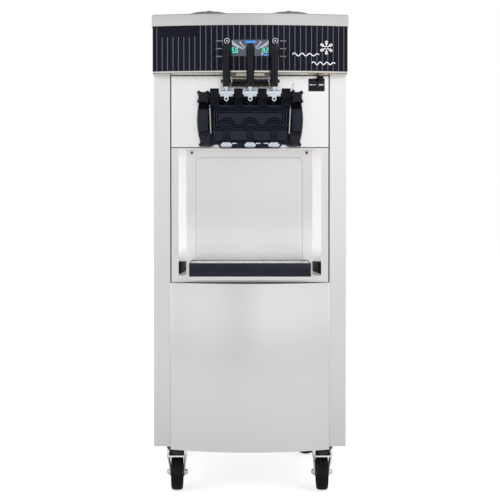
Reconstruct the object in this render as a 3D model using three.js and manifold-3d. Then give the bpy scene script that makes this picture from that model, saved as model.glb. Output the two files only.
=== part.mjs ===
// Floor-standing soft-serve machine: a steel cabinet on casters with two hoppers, two freezing cylinders,
// a dispensing head with three draw handles, a bowed header with a display, and a drip tray in a recess.
// Millimetres. X runs to the right as seen from the front, Y to the back, Z up. The cabinet's front face
// is the plane y = 0 until the last step, which puts the origin on the floor under the middle of the machine.
import * as THREE from "three";
import { mergeVertices } from "three/addons/utils/BufferGeometryUtils.js";
import Module from "manifold-3d";

const wasm = await Module();
wasm.setup();

// ---- driving dimensions ----

const GAP = 0.3;
const SHEET = 1.5;
const SIDES = [["left", -1], ["right", 1]];
const COLUMNS = [["left", -64.6], ["center", 0], ["right", 64.6]];

const CABINET = {
  half: 268, depth: 640, bottom: 138, top: 1331.2, flange: 46.5, fold: 12, rearLip: 18, corner: 3,
};
const SIDE_LOUVRE = { count: 8, start: 210, pitch: 26, height: 6, front: 200, rear: 380 };
const REAR = { front: 640.3, half: 266, bottom: 140, top: 1299, glandX: 180, glandZ: 205, glandHole: 8.6 };
const REAR_LOUVRE = { count: 8, start: 230, pitch: 34, height: 10, inner: 20, outer: 150 };
const BASE = {
  half: 264, front: 16, rear: 636, bottom: 138.5, plate: 2.5, flange: 40, padX: 46, padY: 36, pad: 3.5,
};

const COVER = { half: 270, edge: -50, centre: -82, rear: 644, corner: 8, bottom: 1301, top: 1333 };
const FASCIA = {
  half: 267.5, edge: -47.5, centre: -79.5, rear: -0.5, corner: 6, wall: 3, bottom: 1178.3, top: 1320,
};
const PAN = { half: 267, edge: -47, centre: -79, rear: -0.5, corner: 6, bottom: 1172, top: 1177.7 };
const DISPLAY = { half: 50.5, bottom: 1217, top: 1262, front: -78.6, rear: -55, play: 0.4 };

const UPPER_PANEL = { half: 219.5, bottom: 973, top: 1170, fold: 10 };
const UPPER_OPENING = { half: 125, bottom: 980, top: 1110 };
const RECESS = {
  half: 219.5, mouth: 198.5, back: 185.5, depth: 200, bottom: 597, top: 970.7, floor: 615.7, ceiling: 968.5,
};
const EMBOSS = { half: 157, bottom: 640, top: 950, corner: 12, rise: 2 };
const SHELF = { half: 168, front: -46, lip: 9.7 };
const LOWER_PANEL = { half: 221, edge: -5, centre: -49, fold: 12, bottom: 131, top: 596, flange: 25 };

const HOPPER = {
  x: 118, y: 232, halfX: 96, halfY: 136, corner: 25, wall: 2, bottom: 1118, top: 1333.3, rim: 6,
};
const FEED_TUBE = { x: 80, y: 250, outer: 10, inner: 8, bottom: 1096 };
const LID = {
  halfX: 106, halfY: 146, corner: 30, bottom: 1333.6, seat: 1335.1, edge: 1354, crown: 1381, wall: 3,
};
const LID_KNOB = { radius: 8, top: 1384, rounding: 1.5 };

const CYLINDER = { x: 62, z: 1040, outer: 55, inner: 50, front: 0.1, rear: 330, end: 6, shaftHole: 10 };
const BEATER = {
  shaft: 8, front: 6, rear: 372, bladeOuter: 48, bladeInner: 42, bladeFront: 12, bladeRear: 306, width: 8,
};
const GEAR = { half: 50, front: 346, rear: 410, bore: 8.3, boreEnd: 376 };
const MOTOR = { radius: 46, rear: 560, boxFront: 440, boxRear: 500, boxHalf: 20, boxTop: 56 };
const COMPRESSOR = { x: -95, y: 340, radius: 84, bottom: 146, top: 362, footX: 100, footY: 70 };
const CONDENSER = {
  half: 150, front: 500, core: 556, rear: 610, bottom: 190, top: 490, cowl: 118, leg: 10, fins: 12,
};
const FAN = { hub: 25, tip: 110, front: 508, rear: 538, bore: 4.5, shaft: 4, motor: 22 };
const FAN_BLADE = { count: 5, root: 21, chord: 34, thickness: 3, pitch: 32 };
const CONTROL_BOX = { left: 60, right: 190, front: 215, rear: 335, bottom: 200, top: 450, leg: 12 };
const INNER_FLOOR = 141.3;

const FACEPLATE = { half: 134, bottom: 972, top: 1128, front: -6.5, rear: -0.3, corner: 6 };
const KNOB_SPOTS = [
  ["upper_left", -128, 1108], ["upper_right", 128, 1108],
  ["lower_left", -123, 989.5], ["lower_right", 123, 989.5],
];
const STUD = { radius: 5, hole: 5.6, end: -56 };
const KNOB = {
  seat: -38.3, hub: 12, hubDepth: 5.7, depth: 23.7, tip: 26, waist: 13.4, bore: 5.6, boreDepth: 19.7,
};

const HEAD = { half: 108, front: -66, rear: -7, bottom: 990, top: 1086, wingFront: -38 };
const HEAD_SKIRT = { half: 88, front: -34, bottom: 968.6, corner: 14 };
const HEAD_APRON = { half: 106, front: -34, bottom: 979, top: 1006 };
const HEAD_BACK = { front: -22, top: 1108 };
const WING_OUTLINE = [
  [104, 1122], [135, 1122], [141, 1090], [146, 1050], [145, 1010], [140, 985], [134, 972], [104, 972],
];
const PIVOT = { y: -86, z: 1110, rod: 3, lugHole: 3.2, forkHole: 3.3 };
const PIVOT_ENDS = { left: -112, right: 117, up: 30, head: 2 };
const LUG = {
  spots: [-96.9, -32.3, 32.3, 96.9], half: 12, radius: 19, root: -50, rootTop: 1082, rootBottom: 1074,
  toe: 1088,
};
const VALVE = {
  y: -57, bore: 11.3, column: 15, columnBottom: 985.4, columnTop: 1037, shoulder: 7, boss: 14,
  bossBottom: 977,
};
const POCKET = { half: 20, front: -80, rear: -35, floor: 1078 };
const PORT = { radius: 6, z: 1020, channelHalf: 66, channelRear: -6.9, channelFront: -16 };
const KNOB_CLEARANCE = 28;

const FORK = { half: 17, lean: 9, droop: 30, neck: 5, neckEnd: 68, prongInner: 12.5, prongOuter: 16.5 };
const FORK_HUB = { halfY: 9, halfZ: 9.4, corner: 3, y: -1, z: 4 };
const FORK_TAB = { half: 5.5, front: -11, rear: -7, bottom: -18, hole: 3, holeZ: -12 };
const PRONG = {
  half: 6.5, start: -2, end: 43, corner: 4, slotHalf: 3.9, slotStart: 25, slotEnd: 37.5, slotCorner: 3.5,
};
const GRIP = { start: 24.3, end: 140, bore: 5.3, boreEnd: 69, bottomRadius: 10.6, topRadius: 11.8 };
const PLUNGER = { radius: 11, bottom: 985, top: 1102, pin: 3, pinHalf: 17, pinZ: 1093.3, groove: 9.2 };
const CAP = {
  base: 12.6, outer: 17.4, inner: 14.3, outlet: 8, bottom: 971, floor: 976.6, shoulder: 979.4, top: 985,
};
const CAP_TAB = { root: 16, reach: 29, half: 6, bottom: 979.4, top: 982.8 };

const STOP_BAR = { radius: 4.5, half: 80, y: -76, z: 1149.4, hole: 4.8 };
const BRACKET = {
  half: 52, sheet: 2, top: 1171.7, front: -76, rear: -26, frontLow: 1156.4, cheekFront: -84, cheekLow: 1142,
};
const BRACKET_BACK = { low: 1140, cheekRear: -60 };
const SELECTOR = {
  left: 162.5, right: 207.2, bottom: 1128, top: 1163, front: -6, x: 193.5, y: -35, pivotZ: 1162,
};
const SELECTOR_SOCKET = {
  nut: 9.5, nutLow: 1168, top: 1171.7, mouth: 8, low: 1158.5, bore: 6, boreTop: 1167,
};
const SELECTOR_LEVER = { lean: 26, length: 19, ball: 4, rod: 2.2, tip: 3.4 };

const TRAY = {
  half: 168, front: -44, rear: 115, bottom: 616, top: 653, wall: 3, ledge: 5, ledgeZ: 648, corner: 7,
};
const GRILLE = {
  bottom: 648.3, top: 651.3, play: 0.5, slots: 15, pitch: 20, slotHalf: 3.5, reach: 58, slant: 9,
};
const GLAND = {
  front: 642.1, hex: 13, hexRear: 648, nose: 10, noseRear: 660, tip: 7, taper: 5, stub: 8, stubFront: 630,
  bore: 4.5, boreFront: 646,
};

const CASTER = { x: 206, frontY: 44, rearY: 530, rearSwivel: 40, trail: 30, axle: 51, height: 134.7 };
const WHEEL = { radius: 51, tyre: 15, hub: 16.5, hubRadius: 15, shoulder: 4, bore: 5.3 };
const WHEEL_SIDES = 24;
const CASTER_FORK = {
  inner: 18, outer: 22, crownLow: 104.5, crownHigh: 108.5, front: -28, rear: 46, legTop: 22, legLow: 13,
};
const CASTER_AXLE = { radius: 5, half: 30.7, head: 9, headEnd: 27 };
const RACEWAY_RADIUS = 28;

// ---- finishes ----

const FINISH = {
  brushedSteel: { color: 0xdadadc, roughness: 0.34, metalness: 0.85 },
  plainSteel: { color: 0xbfc2c6, roughness: 0.45, metalness: 0.9 },
  polishedSteel: { color: 0xd8d8dc, roughness: 0.18, metalness: 1.0 },
  blackGloss: { color: 0x26272c, roughness: 0.16, metalness: 0.0 },
  blackPlastic: { color: 0x2b2c31, roughness: 0.45, metalness: 0.0 },
  greyPlastic: { color: 0x55575d, roughness: 0.5, metalness: 0.0 },
  whitePlastic: { color: 0xe8e8e4, roughness: 0.4, metalness: 0.0 },
  rubber: { color: 0x1e1e20, roughness: 0.75, metalness: 0.0 },
  brass: { color: 0xb58d45, roughness: 0.3, metalness: 0.9 },
  zinc: { color: 0xb9bbbd, roughness: 0.35, metalness: 0.85 },
  copperFins: { color: 0x9fa4a8, roughness: 0.5, metalness: 0.8 },
  displayGlass: { color: 0x6f7f93, roughness: 0.12, metalness: 0.0 },
};

// ---- solids from geometries ----

const ROUND = 12;
const LARGE_ROUND = 20;
const SMALL_ROUND = 8;
const CORNER_STEPS = 2;
const BOW_STEPS = 12;
const MERGE_DISTANCE = 1e-4;

const TURN = {
  x: new THREE.Matrix4().makeRotationZ(-Math.PI / 2),
  y: new THREE.Matrix4(),
  z: new THREE.Matrix4().makeRotationX(Math.PI / 2),
};

const ALONG_X = new THREE.Vector3(1, 0, 0);
const ALONG_Y = new THREE.Vector3(0, 1, 0);
const ALONG_Z = new THREE.Vector3(0, 0, 1);
const EXTRUDE_BASIS = {
  x: new THREE.Matrix4().makeBasis(ALONG_Y, ALONG_Z, ALONG_X),
  y: new THREE.Matrix4().makeBasis(ALONG_X, ALONG_Z, ALONG_Y.clone().negate()),
  z: new THREE.Matrix4(),
};

function isFlat([a, b, c]) {
  return a === b || b === c || c === a;
}

function signedVolume(position, triangles) {
  const [a, b, c] = [new THREE.Vector3(), new THREE.Vector3(), new THREE.Vector3()];
  let volume = 0;
  for (const [i, j, k] of triangles) {
    a.fromBufferAttribute(position, i);
    b.fromBufferAttribute(position, j);
    c.fromBufferAttribute(position, k);
    volume += a.dot(b.cross(c));
  }
  return volume;
}

// A closed geometry as a manifold solid: corners merged, flat triangles dropped, faces turned outwards.
function solid(geometry) {
  const bare = geometry.clone();
  bare.deleteAttribute("normal");
  bare.deleteAttribute("uv");
  const merged = mergeVertices(bare, MERGE_DISTANCE);
  const index = merged.index.array;
  let triangles = [];
  for (let i = 0; i < index.length; i += 3) {
    triangles.push([index[i], index[i + 1], index[i + 2]]);
  }
  triangles = triangles.filter((triangle) => !isFlat(triangle));
  if (signedVolume(merged.attributes.position, triangles) < 0) {
    triangles = triangles.map(([a, b, c]) => [a, c, b]);
  }
  return new wasm.Manifold(new wasm.Mesh({
    numProp: 3,
    vertProperties: new Float32Array(merged.attributes.position.array),
    triVerts: new Uint32Array(triangles.flat()),
  }));
}

function geometryOf(manifold) {
  const mesh = manifold.getMesh();
  const geometry = new THREE.BufferGeometry();
  geometry.setAttribute("position", new THREE.BufferAttribute(mesh.vertProperties, 3));
  geometry.setIndex(new THREE.BufferAttribute(mesh.triVerts, 1));
  geometry.computeVertexNormals();
  return geometry;
}

function join(...solids) {
  return solids.reduce((whole, piece) => whole.add(piece));
}

function cut(body, ...tools) {
  return tools.reduce((rest, tool) => rest.subtract(tool), body);
}

function spot(axis, along, [u, v]) {
  const places = { x: [along, u, v], y: [u, along, v], z: [u, v, along] };
  return new THREE.Vector3(...places[axis]);
}

function box(x0, x1, y0, y1, z0, z1) {
  const geometry = new THREE.BoxGeometry(x1 - x0, y1 - y0, z1 - z0);
  return solid(geometry.translate((x0 + x1) / 2, (y0 + y1) / 2, (z0 + z1) / 2));
}

function cylinder(axis, radius, from, to, across = [0, 0], sides = ROUND) {
  const geometry = new THREE.CylinderGeometry(radius, radius, to - from, sides).applyMatrix4(TURN[axis]);
  const middle = spot(axis, (from + to) / 2, across);
  return solid(geometry.translate(middle.x, middle.y, middle.z));
}

// Revolves [radius, height] points about an axis. The profile starts and ends on the axis or closes.
function lathe(axis, profile, across = [0, 0], sides = ROUND) {
  const points = profile.map(([radius, height]) => new THREE.Vector2(radius, height));
  const geometry = new THREE.LatheGeometry(points, sides).applyMatrix4(TURN[axis]);
  const foot = spot(axis, 0, across);
  return solid(geometry.translate(foot.x, foot.y, foot.z));
}

function prismGeometry(axis, outline, from, to) {
  const points = outline.map((point) => (Array.isArray(point) ? new THREE.Vector2(...point) : point));
  const settings = { depth: to - from, bevelEnabled: false };
  const geometry = new THREE.ExtrudeGeometry(new THREE.Shape(points), settings);
  geometry.applyMatrix4(EXTRUDE_BASIS[axis]);
  const start = spot(axis, axis === "y" ? to : from, [0, 0]);
  return geometry.translate(start.x, start.y, start.z);
}

// An outline in the plane across the axis: (x, y) for z, (y, z) for x and (x, z) for y.
function prism(axis, outline, from, to) {
  return solid(prismGeometry(axis, outline, from, to));
}

function roundedRectangle(halfU, halfV, corner, centreU = 0, centreV = 0) {
  const points = [];
  const quarters = [[1, 1], [-1, 1], [-1, -1], [1, -1]];
  quarters.forEach(([signU, signV], quarter) => {
    for (let step = 0; step <= CORNER_STEPS; step++) {
      const angle = (quarter + step / CORNER_STEPS) * Math.PI / 2;
      const u = centreU + signU * (halfU - corner) + corner * Math.cos(angle);
      const v = centreV + signV * (halfV - corner) + corner * Math.sin(angle);
      points.push(new THREE.Vector2(u, v));
    }
  });
  return points;
}

function bowDepth(x, half, edge, centre) {
  const sag = edge - centre;
  const radius = (half * half + sag * sag) / (2 * sag);
  return centre + radius - Math.sqrt(radius * radius - x * x);
}

function bowLine(reach, half, edge, centre) {
  const points = [];
  for (let step = 0; step <= BOW_STEPS; step++) {
    const x = reach * (2 * step / BOW_STEPS - 1);
    points.push(new THREE.Vector2(x, bowDepth(x, half, edge, centre)));
  }
  return points;
}

// A plan with a bowed front between rounded corners, straight sides and a square back.
function bowedPlan({ half, edge, centre, rear, corner }, inset = 0, rearInset = inset) {
  const [h, e, c, r] = [half - inset, edge + inset, centre + inset, Math.max(corner - inset, 1)];
  const front = bowLine(h - r, h, e, c);
  const turnIn = bowDepth(h - r, h, e, c);
  const rounded = (side) => new THREE.QuadraticBezierCurve(
    new THREE.Vector2(side * h, e + r),
    new THREE.Vector2(side * h, e),
    new THREE.Vector2(side * (h - r), turnIn),
  ).getPoints(CORNER_STEPS);
  const leftCorner = rounded(-1).slice(0, -1);
  const rightCorner = rounded(1).slice(0, -1).reverse();
  const back = [new THREE.Vector2(h, rear - rearInset), new THREE.Vector2(-h, rear - rearInset)];
  return [...leftCorner, ...front, ...rightCorner, ...back];
}

// Joins equal rings of points into a closed skin with a flat cap at each end.
function loft(rings) {
  const count = rings[0].length;
  const index = [];
  for (let ring = 0; ring + 1 < rings.length; ring++) {
    for (let i = 0; i < count; i++) {
      const a = ring * count + i;
      const b = ring * count + (i + 1) % count;
      index.push(a, b, b + count, a, b + count, a + count);
    }
  }
  const last = (rings.length - 1) * count;
  for (let i = 1; i + 1 < count; i++) {
    index.push(0, i + 1, i, last, last + i, last + i + 1);
  }
  const geometry = new THREE.BufferGeometry().setFromPoints(rings.flat());
  geometry.setIndex(index);
  return solid(geometry);
}

// ---- scene graph ----

const machine = new THREE.Group();

function add(name, body, finish, parent = machine) {
  const mesh = new THREE.Mesh(geometryOf(body), new THREE.MeshStandardMaterial(finish));
  mesh.name = name;
  parent.add(mesh);
  return mesh;
}

function groupAt(x, y, z) {
  const group = new THREE.Group();
  group.position.set(x, y, z);
  machine.add(group);
  return group;
}

// ---- cabinet ----

function baseFrame() {
  const { half, front, rear, bottom, plate, flange, padX, padY, pad } = BASE;
  const top = bottom + flange;
  const outer = box(-half, half, front, rear, bottom, top);
  const inner = box(-half + plate, half - plate, front + plate, rear - plate, bottom + plate, top + 1);
  const pads = [];
  for (const [, side] of SIDES) {
    for (const y of [CASTER.frontY, CASTER.rearY]) {
      const x = side * CASTER.x;
      const padFront = Math.max(y - padY, front);
      pads.push(box(x - padX, x + padX, padFront, y + padY, bottom - pad, bottom + plate / 2));
    }
  }
  return join(cut(outer, inner), ...pads);
}

function sidePanel(side) {
  const { half, depth, bottom, top, flange, fold, rearLip, corner } = CABINET;
  const inner = half - flange;
  const frontCorner = new THREE.QuadraticBezierCurve(
    new THREE.Vector2(half, corner), new THREE.Vector2(half, 0), new THREE.Vector2(half - corner, 0),
  ).getPoints(CORNER_STEPS);
  const outline = [
    ...frontCorner,
    ...[[inner, 0], [inner, fold], [inner + SHEET, fold], [inner + SHEET, SHEET], [half - corner, SHEET],
      [half - SHEET, corner], [half - SHEET, depth - SHEET], [half - rearLip, depth - SHEET],
      [half - rearLip, depth], [half, depth]].map(([x, y]) => new THREE.Vector2(x, y)),
  ];
  const mirrored = outline.map(({ x, y }) => new THREE.Vector2(side * x, y));
  const louvres = [];
  for (let i = 0; i < SIDE_LOUVRE.count; i++) {
    const low = SIDE_LOUVRE.start + i * SIDE_LOUVRE.pitch;
    const [x0, x1] = [side * (half - 3 * SHEET), side * (half + SHEET)].sort((a, b) => a - b);
    louvres.push(box(x0, x1, SIDE_LOUVRE.front, SIDE_LOUVRE.rear, low, low + SIDE_LOUVRE.height));
  }
  return cut(prism("z", mirrored, bottom, top), ...louvres);
}

function rearPanel() {
  const { front, half, bottom, top, glandX, glandZ, glandHole } = REAR;
  const louvres = [];
  for (let i = 0; i < REAR_LOUVRE.count; i++) {
    const low = REAR_LOUVRE.start + i * REAR_LOUVRE.pitch;
    for (const [, side] of SIDES) {
      const [x0, x1] = [side * REAR_LOUVRE.inner, side * REAR_LOUVRE.outer].sort((a, b) => a - b);
      louvres.push(box(x0, x1, front - 1, front + SHEET + 1, low, low + REAR_LOUVRE.height));
    }
  }
  const sheet = box(-half, half, front, front + SHEET, bottom, top);
  return cut(sheet, ...louvres, cylinder("y", glandHole, front - 1, front + SHEET + 1, [glandX, glandZ]));
}

function topCover() {
  const shell = cut(
    prism("z", bowedPlan(COVER), COVER.bottom, COVER.top),
    prism("z", bowedPlan(COVER, SHEET), COVER.bottom - 1, COVER.top - SHEET),
  );
  const room = 2;
  const openings = SIDES.map(([, side]) => prism("z", roundedRectangle(
    HOPPER.halfX + room, HOPPER.halfY + room, HOPPER.corner + room, side * HOPPER.x, HOPPER.y,
  ), COVER.top - 2 * SHEET, COVER.top + 1));
  return cut(shell, ...openings);
}

function headerFascia() {
  const { wall, bottom, top, centre } = FASCIA;
  const shell = cut(
    prism("z", bowedPlan(FASCIA), bottom, top),
    prism("z", bowedPlan(FASCIA, wall, -1), bottom - 1, top + 1),
  );
  const { half, bottom: windowLow, top: windowHigh } = DISPLAY;
  return cut(shell, box(-half, half, centre - 1, centre + 4 * wall, windowLow, windowHigh));
}

function headerBasePan() {
  return cut(
    prism("z", bowedPlan(PAN), PAN.bottom, PAN.top),
    prism("z", bowedPlan(PAN, SHEET), PAN.bottom + SHEET, PAN.top + 1),
  );
}

function displayModule() {
  const { half, bottom, top, front, rear, play } = DISPLAY;
  return box(-half + play, half - play, front, rear, bottom + play, top - play);
}

function upperFrontPanel() {
  const { half, bottom, top, fold } = UPPER_PANEL;
  const outer = box(-half, half, 0, fold, bottom, top);
  const inner = box(-half + SHEET, half - SHEET, SHEET, fold + 1, bottom + SHEET, top - SHEET);
  const hole = UPPER_OPENING;
  const opening = box(-hole.half, hole.half, -1, 2 * SHEET, hole.bottom, hole.top);
  return cut(outer, inner, opening);
}

function splashRecess() {
  const { half, mouth, back, depth, bottom, top, floor, ceiling } = RECESS;
  const plan = (grow, front, rear) => [
    [-mouth - grow, front], [mouth + grow, front], [back + grow, rear], [-back - grow, rear],
  ];
  const flange = box(-half, half, 0, SHEET, bottom, top);
  const shell = prism("z", plan(SHEET, SHEET / 2, depth + SHEET), floor - SHEET, ceiling + SHEET);
  const cavity = prism("z", plan(0, -1, depth), floor, ceiling);
  const shelf = box(-SHELF.half, SHELF.half, SHELF.front, SHEET, floor - SHEET, floor);
  const lipFront = SHELF.front;
  const lip = box(-SHELF.half, SHELF.half, lipFront, lipFront + SHEET, floor - SHELF.lip, floor);
  const middle = (EMBOSS.bottom + EMBOSS.top) / 2;
  const raised = roundedRectangle(EMBOSS.half, EMBOSS.top - middle, EMBOSS.corner, 0, middle);
  const emboss = prism("y", raised, depth - EMBOSS.rise, depth + SHEET / 2);
  return join(cut(join(flange, shell), cavity), shelf, lip, emboss);
}

function lowerFrontPanel() {
  const { half, edge, centre, fold, bottom, top, flange } = LOWER_PANEL;
  const band = (thickness) => [
    new THREE.Vector2(-half, fold), ...bowLine(half, half, edge, centre), new THREE.Vector2(half, fold),
    new THREE.Vector2(half - SHEET, fold),
    ...bowLine(half - SHEET, half, edge + thickness, centre + thickness).reverse(),
    new THREE.Vector2(-half + SHEET, fold),
  ];
  const flangeOutline = [
    ...bowLine(half - 1, half, edge + 1, centre + 1),
    new THREE.Vector2(half - 1, fold), new THREE.Vector2(half - flange, fold),
    ...bowLine(half - flange, half, edge + flange / 2, centre + flange).reverse(),
    new THREE.Vector2(-half + flange, fold), new THREE.Vector2(-half + 1, fold),
  ];
  return join(prism("z", band(SHEET), bottom, top), prism("z", flangeOutline, bottom, bottom + SHEET));
}

function cableGland() {
  const { front, hex, hexRear, nose, noseRear, tip, taper, stub, stubFront, bore, boreFront } = GLAND;
  const across = [REAR.glandX, REAR.glandZ];
  const dome = lathe("y", [
    [0, hexRear - 1], [nose, hexRear - 1], [nose, noseRear - taper], [tip, noseRear], [0, noseRear],
  ], across);
  const nut = cylinder("y", hex, front, hexRear, across, 6);
  const thread = cylinder("y", stub, stubFront, front + 1, across);
  return cut(join(nut, dome, thread), cylinder("y", bore, boreFront, noseRear + 1, across, SMALL_ROUND));
}

// ---- hoppers and lids ----

function hopper(side) {
  const { x, y, halfX, halfY, corner, wall, bottom, top, rim } = HOPPER;
  const plan = (grow) => roundedRectangle(halfX + grow, halfY + grow, corner + grow, side * x, y);
  const outer = prism("z", plan(0), bottom, top + SHEET);
  const flange = prism("z", plan(rim), top, top + SHEET);
  const tubeAt = [side * FEED_TUBE.x, FEED_TUBE.y];
  const tube = cylinder("z", FEED_TUBE.outer, FEED_TUBE.bottom, bottom + wall, tubeAt);
  const cavity = prism("z", plan(-wall), bottom + wall, top + 2 * SHEET);
  const tubeHole = cylinder("z", FEED_TUBE.inner, FEED_TUBE.bottom - 1, bottom + 2 * wall, tubeAt);
  return cut(join(outer, flange, tube), cavity, tubeHole);
}

function domeRings(halfX, halfY, corner, low, edge, crown) {
  const ring = (scale, z) => roundedRectangle(halfX * scale, halfY * scale, corner * scale)
    .map((point) => new THREE.Vector3(point.x, point.y, z));
  const dome = [0.85, 0.5, 0.12].map((scale) => ring(scale, edge + (crown - edge) * (1 - scale * scale)));
  return [ring(1, low), ring(1, edge - 2), ...dome];
}

function hopperLid() {
  const { halfX, halfY, corner, bottom, seat, edge, crown, wall } = LID;
  const outside = loft(domeRings(halfX, halfY, corner, bottom, edge, crown));
  const skirt = prism("z", roundedRectangle(halfX - SHEET, halfY - SHEET, corner - SHEET), bottom - 1, seat);
  const inset = 4 * wall;
  const hollow = roundedRectangle(halfX - inset, halfY - inset, corner - inset);
  const inside = prism("z", hollow, bottom - 1, edge - wall);
  const { radius, top, rounding } = LID_KNOB;
  const knob = lathe("z", [
    [0, crown - wall], [radius, crown - wall], [radius, top - rounding], [radius - rounding, top], [0, top],
  ]);
  return cut(join(outside, knob), skirt, inside);
}

// ---- freezing and drive ----

function freezingCylinder() {
  const { outer, inner, front, rear, end, shaftHole } = CYLINDER;
  return cut(
    cylinder("y", outer, front, rear, [0, 0], LARGE_ROUND),
    cylinder("y", inner, front - 1, rear - end, [0, 0], LARGE_ROUND),
    cylinder("y", shaftHole, rear - 2 * end, rear + 1),
  );
}

function beater() {
  const { shaft, front, rear, bladeOuter, bladeInner, bladeFront, bladeRear, width } = BEATER;
  const pieces = [cylinder("y", shaft, front, rear)];
  const radialBox = (inner, outer, y0, y1, angle) => {
    const geometry = new THREE.BoxGeometry(outer - inner, y1 - y0, width);
    return solid(geometry.translate((inner + outer) / 2, (y0 + y1) / 2, 0).rotateY(angle));
  };
  for (let i = 0; i < 3; i++) {
    const angle = 2 * Math.PI * i / 3;
    pieces.push(radialBox(bladeInner, bladeOuter, bladeFront, bladeRear, angle));
    pieces.push(radialBox(0, bladeOuter - 1, bladeFront + 1, bladeFront + width, angle));
    pieces.push(radialBox(0, bladeOuter - 1, bladeRear - width, bladeRear - 1, angle));
  }
  return join(...pieces);
}

function gearMotor() {
  const { half, front, rear, bore, boreEnd } = GEAR;
  const { radius, boxFront, boxRear, boxHalf, boxTop } = MOTOR;
  const gearbox = box(-half, half, front, rear, -half, half);
  const motor = cylinder("y", radius, rear - 1, MOTOR.rear);
  const terminals = box(-boxHalf, boxHalf, boxFront, boxRear, 0, boxTop);
  return cut(join(gearbox, motor, terminals), cylinder("y", bore, front - 1, boreEnd));
}

function compressor() {
  const { x, y, radius, bottom, top, footX, footY } = COMPRESSOR;
  const profile = [
    [0, bottom], [radius - 16, bottom], [radius, bottom + 22], [radius, top - 34], [radius - 12, top - 12],
    [radius - 38, top - 2], [0, top],
  ];
  const foot = box(x - footX, x + footX, y - footY, y + footY, INNER_FLOOR, bottom + 1);
  return join(lathe("z", profile, [x, y], LARGE_ROUND), foot);
}

function condenser() {
  const { half, front, core, rear, bottom, top, cowl, leg, fins } = CONDENSER;
  const middle = [0, (bottom + top) / 2];
  const block = box(-half, half, front, rear, bottom, top);
  const legs = SIDES.map(([, side]) => {
    const [x0, x1] = [side * half, side * (half - leg)].sort((a, b) => a - b);
    return box(x0, x1, front, rear, INNER_FLOOR, bottom + 1);
  });
  const grooves = [];
  const pitch = (top - bottom) / fins;
  for (let i = 0; i < fins; i++) {
    const low = bottom + pitch * (i + 0.3);
    grooves.push(box(-half + leg, half - leg, rear - leg, rear + 1, low, low + pitch * 0.4));
  }
  const airway = cylinder("y", cowl, front - 1, core, middle, LARGE_ROUND);
  const opened = cut(join(block, ...legs), airway, ...grooves);
  const motor = cylinder("y", FAN.motor, FAN.rear + 2, core + 1, middle);
  const shaft = cylinder("y", FAN.shaft, FAN.front, core + 1, middle, SMALL_ROUND);
  return join(opened, motor, shaft);
}

function fanBlades() {
  const { hub, tip, front, rear, bore } = FAN;
  const { count, root, chord, thickness, pitch } = FAN_BLADE;
  const pieces = [cylinder("y", hub, front, rear)];
  for (let i = 0; i < count; i++) {
    const blade = new THREE.BoxGeometry(tip - root, thickness, chord);
    blade.rotateX(THREE.MathUtils.degToRad(pitch));
    blade.translate((tip + root) / 2, (front + rear) / 2, 0);
    blade.rotateY(2 * Math.PI * i / count);
    pieces.push(solid(blade));
  }
  return cut(join(...pieces), cylinder("y", bore, front - 1, rear + 1, [0, 0], SMALL_ROUND));
}

function controlBox() {
  const { left, right, front, rear, bottom, top, leg } = CONTROL_BOX;
  const legs = [left, right - leg].map((x) => box(x, x + leg, front, rear, INNER_FLOOR, bottom + 1));
  return join(box(left, right, front, rear, bottom, top), ...legs);
}

// ---- dispensing head ----

function faceplate() {
  const { half, bottom, top, front, rear, corner } = FACEPLATE;
  const middle = (bottom + top) / 2;
  const plate = prism("y", roundedRectangle(half, (top - bottom) / 2, corner, 0, middle), front, rear);
  const bores = SIDES.map(([, side]) => {
    const across = [side * CYLINDER.x, CYLINDER.z];
    return cylinder("y", CYLINDER.inner, front - 1, rear + 1, across, LARGE_ROUND);
  });
  const studs = KNOB_SPOTS.map(([, x, z]) => (
    cylinder("y", STUD.radius, STUD.end, front + 1, [x, z], SMALL_ROUND)
  ));
  return join(cut(plate, ...bores), ...studs);
}

function lug(x) {
  const { half, radius, root, rootTop, rootBottom, toe } = LUG;
  const outline = [];
  for (let step = 0; step <= 6; step++) {
    const angle = Math.PI * step / 6;
    outline.push([PIVOT.y + radius * Math.cos(angle), PIVOT.z + radius * Math.sin(angle)]);
  }
  const [back, front] = [PIVOT.y + radius, PIVOT.y - radius];
  outline.push([front, toe], [back - 1, rootBottom], [root, rootBottom]);
  outline.push([root, rootTop], [back, rootTop + 1]);
  return prism("x", outline, x - half, x + half);
}

function valveColumn(x) {
  const { y, column, columnBottom, columnTop, shoulder, boss, bossBottom } = VALVE;
  const profile = [
    [0, columnBottom], [column, columnBottom], [column, columnTop - shoulder], [column - shoulder, columnTop],
    [0, columnTop],
  ];
  return join(lathe("z", profile, [x, y]), cylinder("z", boss, bossBottom, columnBottom + 1, [x, y]));
}

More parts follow.
